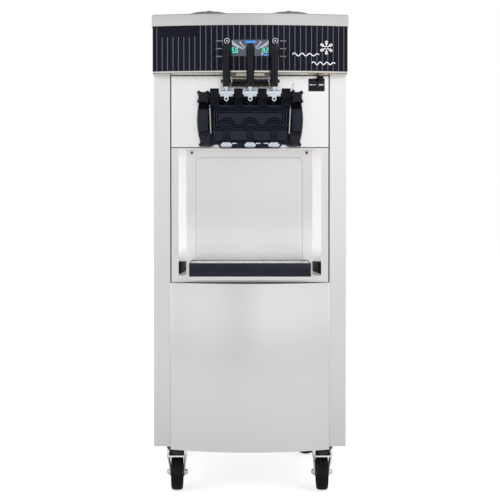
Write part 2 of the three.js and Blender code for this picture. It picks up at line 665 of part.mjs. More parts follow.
function dispensingHead() {
  const { half, front, rear, bottom, top, wingFront } = HEAD;
  const pieces = [box(-half, half, front, rear, bottom, top)];
  for (const [, side] of SIDES) {
    pieces.push(prism("y", WING_OUTLINE.map(([x, z]) => [side * x, z]), wingFront, rear));
  }
  const skirt = HEAD_SKIRT;
  const skirtDepth = (bottom + 2 * skirt.corner - skirt.bottom) / 2;
  const skirtOutline = roundedRectangle(skirt.half, skirtDepth, skirt.corner, 0, skirt.bottom + skirtDepth);
  const apron = HEAD_APRON;
  pieces.push(prism("y", skirtOutline, skirt.front, rear));
  pieces.push(box(-apron.half, apron.half, apron.front, rear, apron.bottom, apron.top));
  pieces.push(box(-half, half, HEAD_BACK.front, rear, top - 1, HEAD_BACK.top));
  const lowerKnobs = KNOB_SPOTS.filter(([name]) => name.startsWith("lower"));
  const knobRoom = lowerKnobs.map(([, x, z]) => (
    cylinder("y", KNOB_CLEARANCE, 2 * front, wingFront, [x, z], LARGE_ROUND)
  ));
  const cleared = cut(join(...pieces), ...knobRoom);
  const whole = join(cleared, ...LUG.spots.map(lug), ...COLUMNS.map(([, x]) => valveColumn(x)));
  const across = [PIVOT.y, PIVOT.z];
  const holes = [cylinder("x", PIVOT.lugHole, PIVOT_ENDS.left, PIVOT_ENDS.right, across, SMALL_ROUND)];
  for (const [, x] of COLUMNS) {
    const { half: pocketHalf, front: pocketFront, rear: pocketRear, floor } = POCKET;
    holes.push(cylinder("z", VALVE.bore, VALVE.bossBottom - 1, top + 1, [x, VALVE.y]));
    holes.push(box(x - pocketHalf, x + pocketHalf, pocketFront, pocketRear, floor, top + 1));
    holes.push(cylinder("y", PORT.radius, VALVE.y, PORT.channelFront + 1, [x, PORT.z], SMALL_ROUND));
  }
  const { radius, z: portZ, channelHalf, channelFront, channelRear } = PORT;
  holes.push(box(-channelHalf, channelHalf, channelFront, channelRear, portZ - radius, portZ + radius));
  for (const [, x, z] of KNOB_SPOTS) {
    holes.push(cylinder("y", STUD.hole, wingFront - 1, rear + 1, [x, z], SMALL_ROUND));
  }
  return cut(whole, ...holes);
}

function pivotRod() {
  const { y, z, rod } = PIVOT;
  const ends = PIVOT_ENDS;
  const elbow = new THREE.SphereGeometry(rod, SMALL_ROUND, 6).translate(ends.right, y, z);
  return join(
    cylinder("x", rod, ends.left, ends.right, [y, z], SMALL_ROUND),
    solid(elbow),
    cylinder("z", rod, z, z + ends.up, [ends.right, y], SMALL_ROUND),
    cylinder("x", rod + 2, ends.left - ends.head, ends.left + ends.head, [y, z], SMALL_ROUND),
  );
}

function starKnob() {
  const { hub, hubDepth, depth, tip, waist, bore, boreDepth } = KNOB;
  const outline = [];
  const steps = 32;
  for (let i = 0; i < steps; i++) {
    const angle = 2 * Math.PI * i / steps;
    const radius = (tip + waist) / 2 - (tip - waist) / 2 * Math.cos(4 * angle);
    outline.push([radius * Math.cos(angle), radius * Math.sin(angle)]);
  }
  const star = prism("y", outline, -depth, -hubDepth);
  const socket = cylinder("y", bore, -boreDepth, 1, [0, 0], SMALL_ROUND);
  return cut(join(star, cylinder("y", hub, -hubDepth - 1, 0)), socket);
}

function nozzleCap(tabSide) {
  const { base, outer, inner, outlet, bottom, floor, shoulder, top } = CAP;
  const profile = [
    [outlet, bottom], [base, bottom], [outer, shoulder], [outer, top], [inner, top], [inner, floor],
    [outlet, floor], [outlet, bottom],
  ];
  const { root, reach, half } = CAP_TAB;
  const [x0, x1] = [tabSide * root, tabSide * reach].sort((a, b) => a - b);
  return join(lathe("z", profile), box(x0, x1, -half, half, CAP_TAB.bottom, CAP_TAB.top));
}

// ---- draw handles: built about the pivot axis ----

function drawFork() {
  const { half, lean, droop, neck, neckEnd, prongInner, prongOuter } = FORK;
  const { halfY, halfZ, corner: hubCorner, y: hubY, z: hubZ } = FORK_HUB;
  const hub = prism("x", roundedRectangle(halfY, halfZ, hubCorner, hubY, hubZ), -half, half);
  const rod = new THREE.CylinderGeometry(neck, neck, neckEnd, SMALL_ROUND).applyMatrix4(TURN.z);
  const neckRod = solid(rod.translate(0, 0, neckEnd / 2).rotateX(THREE.MathUtils.degToRad(lean)));
  const { start, end, corner, slotStart, slotEnd, slotHalf, slotCorner } = PRONG;
  const bar = roundedRectangle((end - start) / 2, PRONG.half, corner, (start + end) / 2, 0);
  const slotMiddle = (slotStart + slotEnd) / 2;
  const slot = roundedRectangle((slotEnd - slotStart) / 2, slotHalf, slotCorner, slotMiddle, 0);
  const down = THREE.MathUtils.degToRad(-droop);
  const prongs = SIDES.map(([, side]) => {
    const [x0, x1] = [side * prongInner, side * prongOuter].sort((a, b) => a - b);
    const prong = solid(prismGeometry("x", bar, x0, x1).rotateX(down));
    return cut(prong, solid(prismGeometry("x", slot, x0 - 1, x1 + 1).rotateX(down)));
  });
  const tab = cut(
    box(-FORK_TAB.half, FORK_TAB.half, FORK_TAB.front, FORK_TAB.rear, FORK_TAB.bottom, 0),
    cylinder("y", FORK_TAB.hole, FORK_TAB.front - 1, FORK_TAB.rear + 1, [0, FORK_TAB.holeZ], SMALL_ROUND),
  );
  const body = join(hub, neckRod, ...prongs, tab);
  return cut(body, cylinder("x", PIVOT.forkHole, -half - 1, half + 1, [0, 0], SMALL_ROUND));
}

function drawGrip() {
  const { start, end, bore, boreEnd, bottomRadius, topRadius } = GRIP;
  const profile = [
    [0, boreEnd], [bore, boreEnd], [bore, start], [bottomRadius - 1, start], [bottomRadius, start + 2],
    [bottomRadius, start + 35], [topRadius - 0.4, end - 45], [topRadius, end - 24],
    [topRadius - 0.8, end - 10], [topRadius - 4, end - 2.5], [0, end],
  ];
  const points = profile.map(([radius, height]) => new THREE.Vector2(radius, height));
  const geometry = new THREE.LatheGeometry(points, ROUND).applyMatrix4(TURN.z);
  return solid(geometry.rotateX(THREE.MathUtils.degToRad(FORK.lean)));
}

function valvePlunger() {
  const { radius, bottom, top, pin, pinHalf, pinZ, groove } = PLUNGER;
  const profile = [
    [0, bottom], [radius, bottom], [radius, bottom + 8], [groove, bottom + 8], [groove, bottom + 12],
    [radius, bottom + 12], [radius, top - 2], [radius - 2, top], [0, top],
  ];
  return join(lathe("z", profile), cylinder("x", pin, -pinHalf, pinHalf, [0, pinZ], SMALL_ROUND));
}

// ---- header underside ----

function stopBarBracket() {
  const { half, sheet, top, front, rear, frontLow, cheekFront, cheekLow } = BRACKET;
  const hole = cylinder("x", STOP_BAR.hole, -half - 1, half + 1, [STOP_BAR.y, STOP_BAR.z]);
  const cheeks = SIDES.map(([, side]) => {
    const [x0, x1] = [side * half, side * (half - sheet)].sort((a, b) => a - b);
    return cut(box(x0, x1, cheekFront, BRACKET_BACK.cheekRear, cheekLow, top), hole);
  });
  return join(
    box(-half, half, front, rear, top - sheet, top),
    box(-half, half, front, front + sheet, frontLow, top),
    box(-half, half, rear - sheet, rear, BRACKET_BACK.low, top),
    ...cheeks,
  );
}

function selectorSocket() {
  const { nut, nutLow, top, mouth, low, bore, boreTop } = SELECTOR_SOCKET;
  const profile = [
    [0, boreTop], [bore, boreTop], [bore, low], [mouth - 1, low], [mouth + 0.5, nutLow], [nut, nutLow],
    [nut, top], [0, top],
  ];
  return lathe("z", profile, [SELECTOR.x, SELECTOR.y]);
}

function selectorLever() {
  const { length, ball, rod, tip } = SELECTOR_LEVER;
  const knob = -length;
  const side = tip * Math.SQRT1_2;
  const profile = [
    [0, knob - tip], [side, knob - side], [tip, knob], [side, knob + tip], [rod, knob + 2 * tip],
    [rod, -ball], [ball, -1], [ball, 1], [ball * 0.6, ball * 0.8], [0, ball],
  ];
  return lathe("z", profile, [0, 0], SMALL_ROUND);
}

// ---- drip tray ----

function dripTray() {
  const { half, front, rear, bottom, top, wall, ledge, ledgeZ, corner } = TRAY;
  const middle = (front + rear) / 2;
  const depth = (rear - front) / 2;
  const plan = (inset, round) => roundedRectangle(half - inset, depth - inset, round, 0, middle);
  return cut(
    prism("z", plan(0, corner), bottom, top),
    prism("z", plan(wall, corner - wall), ledgeZ, top + 1),
    prism("z", plan(wall + ledge, corner - wall), bottom + wall, ledgeZ + 1),
  );
}

function dripGrille() {
  const { bottom, top, play, slots, pitch, slotHalf, reach, slant } = GRILLE;
  const middle = (TRAY.front + TRAY.rear) / 2;
  const inset = TRAY.wall + play;
  const corner = TRAY.corner - TRAY.wall;
  const depth = (TRAY.rear - TRAY.front) / 2;
  const plate = roundedRectangle(TRAY.half - inset, depth - inset, corner, 0, middle);
  const cuts = [];
  for (let i = 0; i < slots; i++) {
    const x = (i - (slots - 1) / 2) * pitch;
    const slot = new THREE.BoxGeometry(2 * slotHalf, 2 * reach, 4 * (top - bottom));
    slot.rotateZ(THREE.MathUtils.degToRad(-slant));
    cuts.push(solid(slot.translate(x, middle, top)));
  }
  return cut(prism("z", plate, bottom, top), ...cuts);
}

// ---- casters: built about the swivel axis, standing on the floor ----

function casterFork() {
  const { inner, outer, crownLow, crownHigh, front, rear, legTop, legLow } = CASTER_FORK;
  const { trail, axle, height } = CASTER;
  const crown = box(-outer, outer, front, rear, crownLow, crownHigh);
  const legOutline = [[front, crownHigh], [front, crownLow - 8]];
  for (let step = 0; step <= 5; step++) {
    const angle = Math.PI * (1.15 + 0.7 * step / 5);
    legOutline.push([trail + legLow * Math.cos(angle), axle + legLow * Math.sin(angle)]);
  }
  legOutline.push([trail + legTop, crownLow - 6], [rear, crownLow], [rear, crownHigh]);
  const legs = SIDES.map(([, side]) => {
    const [x0, x1] = [side * inner, side * outer].sort((a, b) => a - b);
    return prism("x", legOutline, x0, x1);
  });
  const { radius, half, head, headEnd } = CASTER_AXLE;
  const across = [trail, axle];
  const heads = SIDES.map(([, side]) => {
    const [x0, x1] = [side * (outer - 1), side * headEnd].sort((a, b) => a - b);
    return cylinder("x", head, x0, x1, across, 6);
  });
  const raceway = cylinder("z", RACEWAY_RADIUS, crownLow, height, [0, 0], LARGE_ROUND);
  return join(crown, ...legs, cylinder("x", radius, -half, half, across, SMALL_ROUND), ...heads, raceway);
}

// One of its flats faces down, so that it stands on the floor over its whole width.
function casterWheel() {
  const { radius, tyre, hub, hubRadius, shoulder, bore } = WHEEL;
  const flatten = 1 / Math.cos(Math.PI / WHEEL_SIDES);
  const half = [
    [bore, hub], [hubRadius, hub], [hubRadius, tyre], [(radius - shoulder) * flatten, tyre],
    [radius * flatten, tyre - shoulder],
  ];
  const mirrored = half.map(([r, x]) => [r, -x]).reverse();
  const points = [...half, ...mirrored, half[0]].map(([r, x]) => new THREE.Vector2(r, x));
  const geometry = new THREE.LatheGeometry(points, WHEEL_SIDES, Math.PI / WHEEL_SIDES);
  return solid(geometry.applyMatrix4(TURN.x));
}

function addCaster(name, x, y, swivel) {
  const caster = groupAt(x, y, 0);
  caster.rotation.z = THREE.MathUtils.degToRad(swivel);
  add(`caster_fork_${name}`, casterFork(), FINISH.zinc, caster);
  const wheel = add(`caster_wheel_${name}`, casterWheel(), FINISH.rubber, caster);
  wheel.position.set(0, CASTER.trail, CASTER.axle);
}

// ---- assembly ----

function addCabinet() {
  add("base_frame", baseFrame(), FINISH.plainSteel);
  add("left_side_panel", sidePanel(-1), FINISH.brushedSteel);
  add("right_side_panel", sidePanel(1), FINISH.brushedSteel);
  add("rear_panel", rearPanel(), FINISH.brushedSteel);
  add("top_cover", topCover(), FINISH.brushedSteel);
  add("header_base_pan", headerBasePan(), FINISH.brushedSteel);
  add("header_fascia", headerFascia(), FINISH.blackGloss);
  add("display_module", displayModule(), FINISH.displayGlass);
  add("upper_front_panel", upperFrontPanel(), FINISH.brushedSteel);
  add("splash_recess", splashRecess(), FINISH.brushedSteel);
  add("lower_front_panel", lowerFrontPanel(), FINISH.brushedSteel);
  add("cable_gland", cableGland(), FINISH.blackPlastic);
}

function addFreezing() {
  for (const [name, side] of SIDES) {
    add(`hopper_${name}`, hopper(side), FINISH.polishedSteel);
    add(`lid_${name}`, hopperLid(), FINISH.greyPlastic).position.set(side * HOPPER.x, HOPPER.y, 0);
    const axis = groupAt(side * CYLINDER.x, 0, CYLINDER.z);
    add(`freezing_cylinder_${name}`, freezingCylinder(), FINISH.plainSteel, axis);
    add(`beater_${name}`, beater(), FINISH.polishedSteel, axis);
    add(`gear_motor_${name}`, gearMotor(), FINISH.greyPlastic, axis);
  }
  add("compressor", compressor(), FINISH.blackPlastic);
  add("condenser", condenser(), FINISH.copperFins);
  const fanZ = (CONDENSER.bottom + CONDENSER.top) / 2;
  add("fan_blades", fanBlades(), FINISH.blackPlastic).position.set(0, 0, fanZ);
  add("control_box", controlBox(), FINISH.whitePlastic);
}

function addHead() {
  add("freezer_faceplate", faceplate(), FINISH.polishedSteel);
  add("dispensing_head", dispensingHead(), FINISH.blackPlastic);
  add("pivot_rod", pivotRod(), FINISH.polishedSteel);
  for (const [name, x, z] of KNOB_SPOTS) {
    add(`star_knob_${name}`, starKnob(), FINISH.blackPlastic).position.set(x, KNOB.seat, z);
  }
  for (const [name, x] of COLUMNS) {
    const handle = groupAt(x, PIVOT.y, PIVOT.z);
    add(`draw_fork_${name}`, drawFork(), FINISH.polishedSteel, handle);
    add(`draw_grip_${name}`, drawGrip(), FINISH.blackPlastic, handle);
    add(`valve_plunger_${name}`, valvePlunger(), FINISH.blackPlastic).position.set(x, VALVE.y, 0);
    const tabSide = name === "right" ? -1 : 1;
    add(`nozzle_cap_${name}`, nozzleCap(tabSide), FINISH.polishedSteel).position.set(x, VALVE.y, 0);
  }
}

function addHeaderUnderside() {
  const { radius, half, y, z } = STOP_BAR;
  add("handle_stop_bar", cylinder("x", radius, -half, half, [y, z]), FINISH.blackPlastic);
  add("stop_bar_bracket", stopBarBracket(), FINISH.brushedSteel);
  const plate = box(SELECTOR.left, SELECTOR.right, SELECTOR.front, -GAP, SELECTOR.bottom, SELECTOR.top);
  add("selector_plate", plate, FINISH.blackGloss);
  add("selector_socket", selectorSocket(), FINISH.brass);
  const lever = add("selector_lever", selectorLever(), FINISH.blackPlastic);
  lever.position.set(SELECTOR.x, SELECTOR.y, SELECTOR.pivotZ);
  lever.rotation.y = THREE.MathUtils.degToRad(SELECTOR_LEVER.lean);
}

function addDripTray() {
  add("drip_tray", dripTray(), FINISH.blackGloss);
  add("drip_grille", dripGrille(), FINISH.polishedSteel);
}

function addCasters() {
  addCaster("front_left", -CASTER.x, CASTER.frontY, 0);
  addCaster("front_right", CASTER.x, CASTER.frontY, 0);
  addCaster("rear_left", -CASTER.x, CASTER.rearY, CASTER.rearSwivel);
  addCaster("rear_right", CASTER.x, CASTER.rearY, CASTER.rearSwivel);
}

addCabinet();
addFreezing();
addHead();
addHeaderUnderside();
addDripTray();
addCasters();

machine.updateMatrixWorld(true);
machine.position.y = -new THREE.Box3().setFromObject(machine).getCenter(new THREE.Vector3()).y;

export default machine;
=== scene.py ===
import math

import bmesh
import bpy
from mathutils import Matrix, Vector


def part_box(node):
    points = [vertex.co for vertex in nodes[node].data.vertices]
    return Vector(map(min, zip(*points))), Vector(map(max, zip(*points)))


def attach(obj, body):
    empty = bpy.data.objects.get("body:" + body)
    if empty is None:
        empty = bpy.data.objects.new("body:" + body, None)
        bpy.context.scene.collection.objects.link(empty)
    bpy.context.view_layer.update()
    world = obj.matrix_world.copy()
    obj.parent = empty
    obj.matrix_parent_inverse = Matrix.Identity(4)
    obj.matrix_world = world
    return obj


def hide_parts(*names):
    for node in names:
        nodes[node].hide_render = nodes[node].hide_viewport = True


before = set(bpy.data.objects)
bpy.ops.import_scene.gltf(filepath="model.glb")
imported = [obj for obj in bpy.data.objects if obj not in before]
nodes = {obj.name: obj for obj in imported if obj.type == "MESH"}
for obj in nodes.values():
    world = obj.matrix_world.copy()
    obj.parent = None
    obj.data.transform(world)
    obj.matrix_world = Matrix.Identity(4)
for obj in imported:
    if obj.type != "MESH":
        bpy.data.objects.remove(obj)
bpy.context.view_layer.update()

# Looks for a floor-standing soft-serve machine. Shapes are written in millimetres in the machine's own
# coordinates: x to the right, y back from the cabinet's front face, z up from the floor.
scene = bpy.context.scene
MM = 0.001
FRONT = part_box("upper_front_panel")[0].y
SIDES = (("left", -1), ("right", 1))


def at(x, y, z):
    """A point in millimetres as a place in the frame."""
    return Vector((x * MM, FRONT + y * MM, z * MM))


def span(node):
    """A CAD node's lowest and highest corners in millimetres."""
    low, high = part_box(node)
    shift = Vector((0, FRONT, 0))
    return (low - shift) / MM, (high - shift) / MM


def middle(node):
    low, high = span(node)
    return (low + high) / 2


# ---- outlines and shells ----

def arc(centre, radius, start, end, steps):
    """Points on a circle from one angle to another, in degrees."""
    points = []
    for step in range(steps + 1):
        angle = math.radians(start + (end - start) * step / steps)
        points.append((centre[0] + radius * math.cos(angle), centre[1] + radius * math.sin(angle)))
    return points


def rounded_rectangle(low, high, corner, steps=8):
    (u0, v0), (u1, v1) = low, high
    return (
        arc((u1 - corner, v1 - corner), corner, 0, 90, steps)
        + arc((u0 + corner, v1 - corner), corner, 90, 180, steps)
        + arc((u0 + corner, v0 + corner), corner, 180, 270, steps)
        + arc((u1 - corner, v0 + corner), corner, 270, 360, steps)
    )


def inset_rectangle(low, high, inset, corner):
    """A node's plan, smaller all round by an inset, with rounded corners."""
    return rounded_rectangle((low.x + inset, low.y + inset), (high.x - inset, high.y - inset), corner)


def spread(axis, along, point):
    """A 2-D outline point placed across an axis: (y, z) for x, (x, z) for y, (x, y) for z."""
    u, v = point
    return {"x": (along, u, v), "y": (u, along, v), "z": (u, v, along)}[axis]


def loft(rings, closed=False):
    """A skin through equal rings: flat at both ends, or closed from the last ring to the first."""
    count = len(rings[0])
    verts = [point for ring in rings for point in ring]
    faces = []
    for a in range(len(rings) if closed else len(rings) - 1):
        b = (a + 1) % len(rings)
        for i in range(count):
            j = (i + 1) % count
            faces.append((a * count + i, a * count + j, b * count + j, b * count + i))
    if not closed:
        faces.append(tuple(range(count)))
        faces.append(tuple(range(len(verts) - count, len(verts))))
    return verts, faces


def placed(outline, axis, along):
    return [spread(axis, along, point) for point in outline]


def prism(outline, axis, start, end):
    return loft([placed(outline, axis, start), placed(outline, axis, end)])


def box(x0, x1, y0, y1, z0, z1):
    return prism([(x0, y0), (x1, y0), (x1, y1), (x0, y1)], "z", z0, z1)


def lathe(profile, axis, across=(0, 0), steps=48):
    """Revolves (radius, height) points. A point on the axis becomes a single corner."""
    verts, rows, faces = [], [], []
    for radius, along in profile:
        if radius < 1e-6:
            rows.append([len(verts)] * steps)
            verts.append(spread(axis, along, across))
            continue
        rows.append(list(range(len(verts), len(verts) + steps)))
        for step in range(steps):
            angle = 2 * math.pi * step / steps
            point = (across[0] + radius * math.cos(angle), across[1] + radius * math.sin(angle))
            verts.append(spread(axis, along, point))
    for lower, upper in zip(rows, rows[1:]):
        for i in range(steps):
            j = (i + 1) % steps
            corners = dict.fromkeys((lower[i], lower[j], upper[j], upper[i]))
            if len(corners) > 2:
                faces.append(tuple(corners))
    return verts, faces


def cylinder(radius, axis, start, end, across=(0, 0), steps=32, round_off=0.0):
    """A round bar, with its two edges rounded off when asked."""
    cut, near = round_off, round_off * 0.3
    profile = [(0, start), (radius - cut, start)]
    if cut:
        profile += [(radius - near, start + near), (radius, start + cut)]
        profile += [(radius, end - cut), (radius - near, end - near)]
    profile += [(radius - cut, end), (0, end)]
    return lathe(profile, axis, across, steps)


def turned(shape, axis, angle, pivot=(0, 0, 0)):
    """A shape rotated about an axis through a point, in degrees."""
    verts, faces = shape
    sin, cos = math.sin(math.radians(angle)), math.cos(math.radians(angle))
    a, b = {"x": (1, 2), "y": (2, 0), "z": (0, 1)}[axis]
    moved = []
    for vert in verts:
        point = [vert[i] - pivot[i] for i in range(3)]
        u, v = point[a], point[b]
        point[a], point[b] = u * cos - v * sin, u * sin + v * cos
        moved.append(tuple(point[i] + pivot[i] for i in range(3)))
    return moved, faces


def moved(shape, x=0, y=0, z=0):
    verts, faces = shape
    return [(v[0] + x, v[1] + y, v[2] + z) for v in verts], faces


def merged(shapes):
    """Several shapes as one, for a single cut."""
    verts, faces = [], []
    for shape_verts, shape_faces in shapes:
        start = len(verts)
        verts += shape_verts
        faces += [tuple(index + start for index in face) for face in shape_faces]
    return verts, faces


# ---- objects ----

def raw(name, shape):
    """An object with outward faces, from a shape in millimetres."""
    verts, faces = shape
    mesh = bpy.data.meshes.new(name)
    mesh.from_pydata([at(*vert) for vert in verts], [], faces)
    work = bmesh.new()
    work.from_mesh(mesh)
    bmesh.ops.recalc_face_normals(work, faces=work.faces)
    work.to_mesh(mesh)
    work.free()
    obj = bpy.data.objects.new(name, mesh)
    scene.collection.objects.link(obj)
    return obj


def settle(obj):
    """Applies an object's modifiers to its mesh."""
    bpy.context.view_layer.update()
    graph = bpy.context.evaluated_depsgraph_get()
    old = obj.data
    obj.data = bpy.data.meshes.new_from_object(obj.evaluated_get(graph))
    obj.modifiers.clear()
    bpy.data.meshes.remove(old)
    return obj


def combine(obj, shapes, operation):
    """Joins shapes to an object or cuts them from it, one boolean each."""
    for index, shape in enumerate(shapes):
        tool = raw(f"{obj.name}_tool_{index}", shape) if isinstance(shape, tuple) else shape
        modifier = obj.modifiers.new("boolean", "BOOLEAN")
        modifier.operation = operation
        modifier.solver = "EXACT"
        modifier.object = tool
        settle(obj)
        bpy.data.objects.remove(tool)
    return obj


def soften(obj, width, segments, angle):
    """Rounds the edges that turn by more than an angle."""
    modifier = obj.modifiers.new("round", "BEVEL")
    modifier.width = width * MM
    modifier.segments = segments
    modifier.limit_method = "ANGLE"
    modifier.angle_limit = math.radians(angle)


def built(name, shape, join=(), cut=(), bevel=0.0, segments=3, angle=35, smooth=35):
    """One solid from a shape, what is joined to it and what is cut from it, with its edges rounded."""
    obj = raw(name, shape)
    combine(obj, join, "UNION")
    combine(obj, cut, "DIFFERENCE")
    if bevel:
        soften(obj, bevel, segments, angle)
        settle(obj)
    return smoothed(obj, smooth)


def smoothed(obj, angle=35):
    obj.data.polygons.foreach_set("use_smooth", [True] * len(obj.data.polygons))
    obj.data.set_sharp_from_angle(angle=math.radians(angle))
    return obj


def show(obj, material, body, node=None):
    """Gives a piece its finish and its body, and lets it stand for a CAD node."""
    obj.data.materials.clear()
    obj.data.materials.append(LOOKS[material])
    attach(obj, body)
    if node:
        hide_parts(node)
    return obj


def piece(name, shape, material, slot, node=None, body="cabinet", **options):
    """Builds a visible piece and shows it."""
    return show(built(name, shape, **options), material, body, node)


# ---- materials ----

def shader(name, color, metallic=0.0, roughness=0.5, specular=0.5):
    material = bpy.data.materials.new(name)
    material.use_nodes = True
    bsdf = material.node_tree.nodes["Principled BSDF"]
    bsdf.inputs["Base Color"].default_value = (*color, 1)
    bsdf.inputs["Metallic"].default_value = metallic
    bsdf.inputs["Roughness"].default_value = roughness
    bsdf.inputs["Specular IOR Level"].default_value = specular
    return material, material.node_tree, bsdf


def link(tree, source, target):
    tree.links.new(source, target)


def feed(tree, value, socket):
    """Links an output to a socket, or sets the socket to a number or a colour."""
    if isinstance(value, bpy.types.NodeSocket):
        link(tree, value, socket)
    elif isinstance(value, tuple):
        socket.default_value = (*value, 1)
    else:
        socket.default_value = value


def axes(tree, space="Object"):
    """The x, y and z of a piece's own coordinates or of the world's directions."""
    place = tree.nodes.new("ShaderNodeTexCoord")
    parts = tree.nodes.new("ShaderNodeSeparateXYZ")
    link(tree, place.outputs[space], parts.inputs[0])
    return parts.outputs


def add_noise(tree, scale, detail=3.0, roughness=0.5):
    """Noise in the piece's own coordinates, stretched by a scale along x, y and z (waves per metre)."""
    place = tree.nodes.new("ShaderNodeTexCoord")
    mapping = tree.nodes.new("ShaderNodeMapping")
    mapping.inputs["Scale"].default_value = scale
    noise = tree.nodes.new("ShaderNodeTexNoise")
    noise.inputs["Scale"].default_value = 1.0
    noise.inputs["Detail"].default_value = detail
    noise.inputs["Roughness"].default_value = roughness
    link(tree, place.outputs["Object"], mapping.inputs["Vector"])
    link(tree, mapping.outputs["Vector"], noise.inputs["Vector"])
    return noise.outputs["Fac"]


def add_range(tree, value, low, high, from_low=0.3, from_high=0.7):
    remap = tree.nodes.new("ShaderNodeMapRange")
    remap.inputs["From Min"].default_value = from_low
    remap.inputs["From Max"].default_value = from_high
    remap.inputs["To Min"].default_value = low
    remap.inputs["To Max"].default_value = high
    link(tree, value, remap.inputs["Value"])
    return remap.outputs["Result"]


def add_mix(tree, factor, first, second, blend="MIX"):
    """Blends two colours, each a triple or an output."""
    mix = tree.nodes.new("ShaderNodeMix")
    mix.data_type = "RGBA"
    mix.blend_type = blend
    feed(tree, factor, mix.inputs["Factor"])
    for value, socket in zip((first, second), [s for s in mix.inputs if s.type == "RGBA"]):
        feed(tree, value, socket)
    return next(s for s in mix.outputs if s.type == "RGBA")


def math_node(tree, operation, *values):
    node = tree.nodes.new("ShaderNodeMath")
    node.operation = operation
    for value, socket in zip(values, node.inputs):
        feed(tree, value, socket)
    return node.outputs[0]


def add_bump(tree, bsdf, height, strength, distance):
    bump = tree.nodes.new("ShaderNodeBump")
    bump.inputs["Strength"].default_value = strength
    bump.inputs["Distance"].default_value = distance
    link(tree, height, bump.inputs["Height"])
    link(tree, bump.outputs["Normal"], bsdf.inputs["Normal"])


def brushed_steel(name, color, roughness, grain, contrast=0.06, bump=0.12):
    """Stainless sheet: fine lines along one direction over a slow drift in tone."""
    material, tree, bsdf = shader(name, color, metallic=1.0, roughness=roughness)
    lines = add_noise(tree, grain, detail=2.0, roughness=0.7)
    drift = add_noise(tree, (3.0, 3.0, 2.0), detail=1.0)
    darker = tuple(c * (1 - contrast) for c in color)
    toned = add_mix(tree, add_range(tree, drift, 0, 1), darker, color)
    streaks = add_mix(tree, add_range(tree, lines, 0, 1), tuple(c * (1 - contrast * 0.6) for c in color),
                      toned)
    link(tree, streaks, bsdf.inputs["Base Color"])
    link(tree, add_range(tree, lines, roughness - contrast, roughness + contrast * 1.4),
         bsdf.inputs["Roughness"])
    add_bump(tree, bsdf, lines, bump, 0.0002)
    return material


def shade_by_height(material, stops):
    """Paints shade into a material's colour along z by multiplying it: each stop is (height in metres,
    factor).
    """
    tree = material.node_tree
    base = tree.nodes["Principled BSDF"].inputs["Base Color"]
    low, high = stops[0][0], stops[-1][0]
    ramp = tree.nodes.new("ShaderNodeValToRGB")
    link(tree, add_range(tree, axes(tree)[2], 0.0, 1.0, low, high), ramp.inputs[0])
    elements = ramp.color_ramp.elements
    while len(elements) < len(stops):
        elements.new(0.5)
    for element, (height, factor) in zip(elements, stops):
        element.position = (height - low) / (high - low)
        element.color = (factor, factor, factor, 1)
    link(tree, add_mix(tree, 1.0, base.links[0].from_socket, ramp.outputs["Color"], "MULTIPLY"), base)


def polished_metal(name, color, roughness):
    material, tree, bsdf = shader(name, color, metallic=1.0, roughness=roughness)
    smear = add_noise(tree, (60, 60, 60), detail=3.0)
    link(tree, add_range(tree, smear, roughness * 0.7, roughness * 1.5), bsdf.inputs["Roughness"])
    tint = add_mix(tree, add_range(tree, smear, 0, 1), tuple(c * 0.93 for c in color), color)
    link(tree, tint, bsdf.inputs["Base Color"])
    return material


def moulded_plastic(name, color, roughness, texture=900.0, bump=0.15, specular=0.5):
    """Injection-moulded plastic: a fine even texture and faint rubbed patches."""
    material, tree, bsdf = shader(name, color, roughness=roughness, specular=specular)
    pits = add_noise(tree, (texture, texture, texture), detail=2.0)
    rub = add_noise(tree, (25, 25, 25), detail=4.0)
    link(tree, add_range(tree, rub, roughness - 0.06, roughness + 0.08), bsdf.inputs["Roughness"])
    lighter = tuple(c * 1.35 + 0.002 for c in color)
    link(tree, add_mix(tree, add_range(tree, rub, 0, 1), color, lighter), bsdf.inputs["Base Color"])
    add_bump(tree, bsdf, pits, bump, 0.0002)
    return material


def emit(tree, bsdf, color, strength):
    """Lets a material shine by a number or an output."""
    bsdf.inputs["Emission Color"].default_value = (*color, 1)
    feed(tree, strength, bsdf.inputs["Emission Strength"])


def glow(name, color, strength):
    material, tree, bsdf = shader(name, tuple(c * 0.2 for c in color), roughness=0.3)
    emit(tree, bsdf, color, strength)
    return material


def satin_wall_painted_glow():
    """The recess walls: bright satin sheet with a painted glow, which is faint beside the tray."""
    material, tree, bsdf = shader("wall_steel", (0.98, 0.97, 0.96), metallic=0.25)
    grain = add_noise(tree, (900, 900, 6))
    link(tree, add_mix(tree, grain, (0.97, 0.96, 0.95), (0.99, 0.98, 0.97)), bsdf.inputs["Base Color"])
    link(tree, add_range(tree, grain, 0.17, 0.22), bsdf.inputs["Roughness"])
    # Painted light: the walls glow, only faintly beside the tray and fully above it.
    emit(tree, bsdf, (1, 0.99, 0.97), add_range(tree, axes(tree)[2], 0.02, 0.22, 0.655, 0.69))
    return material


def recess_sheet():
    """The recess's back: half satin, half mirror, with a band of painted shade across its upper middle and a
    painted glow low down.
    """
    material = brushed_steel("recess_steel", (0.96, 0.95, 0.95), 0.30, HORIZONTAL_GRAIN, 0.01, 0.004)
    # Painted shade: darker between about 0.8 and 0.9 m, full tone at the bottom and the top.
    shade_by_height(material, ((0.62, 1.0), (0.70, 0.99), (0.80, 0.87), (0.90, 0.91), (0.95, 1.0)))
    tree = material.node_tree
    bsdf = tree.nodes["Principled BSDF"]
    bsdf.inputs["Metallic"].default_value = 0.5
    # Painted light: the back glows low down beside the tray, fading out upwards.
    emit(tree, bsdf, (1, 1, 1), add_range(tree, axes(tree)[2], 0.11, 0.0, 0.655, 0.76))
    return material


# Waves per metre along x, y and z: the lines run where the count is low.
VERTICAL_GRAIN = (1400, 1400, 9)
HORIZONTAL_GRAIN = (9, 1400, 1400)
STEEL_COLOR = (0.95, 0.945, 0.95)


STRIPE = {"pitch": 15.17, "half": 0.72, "start": 0.6}
FASCIA_RADIUS = 1155
PLAIN_PATCH = {"left": -253, "right": -138, "low": 1270.7}


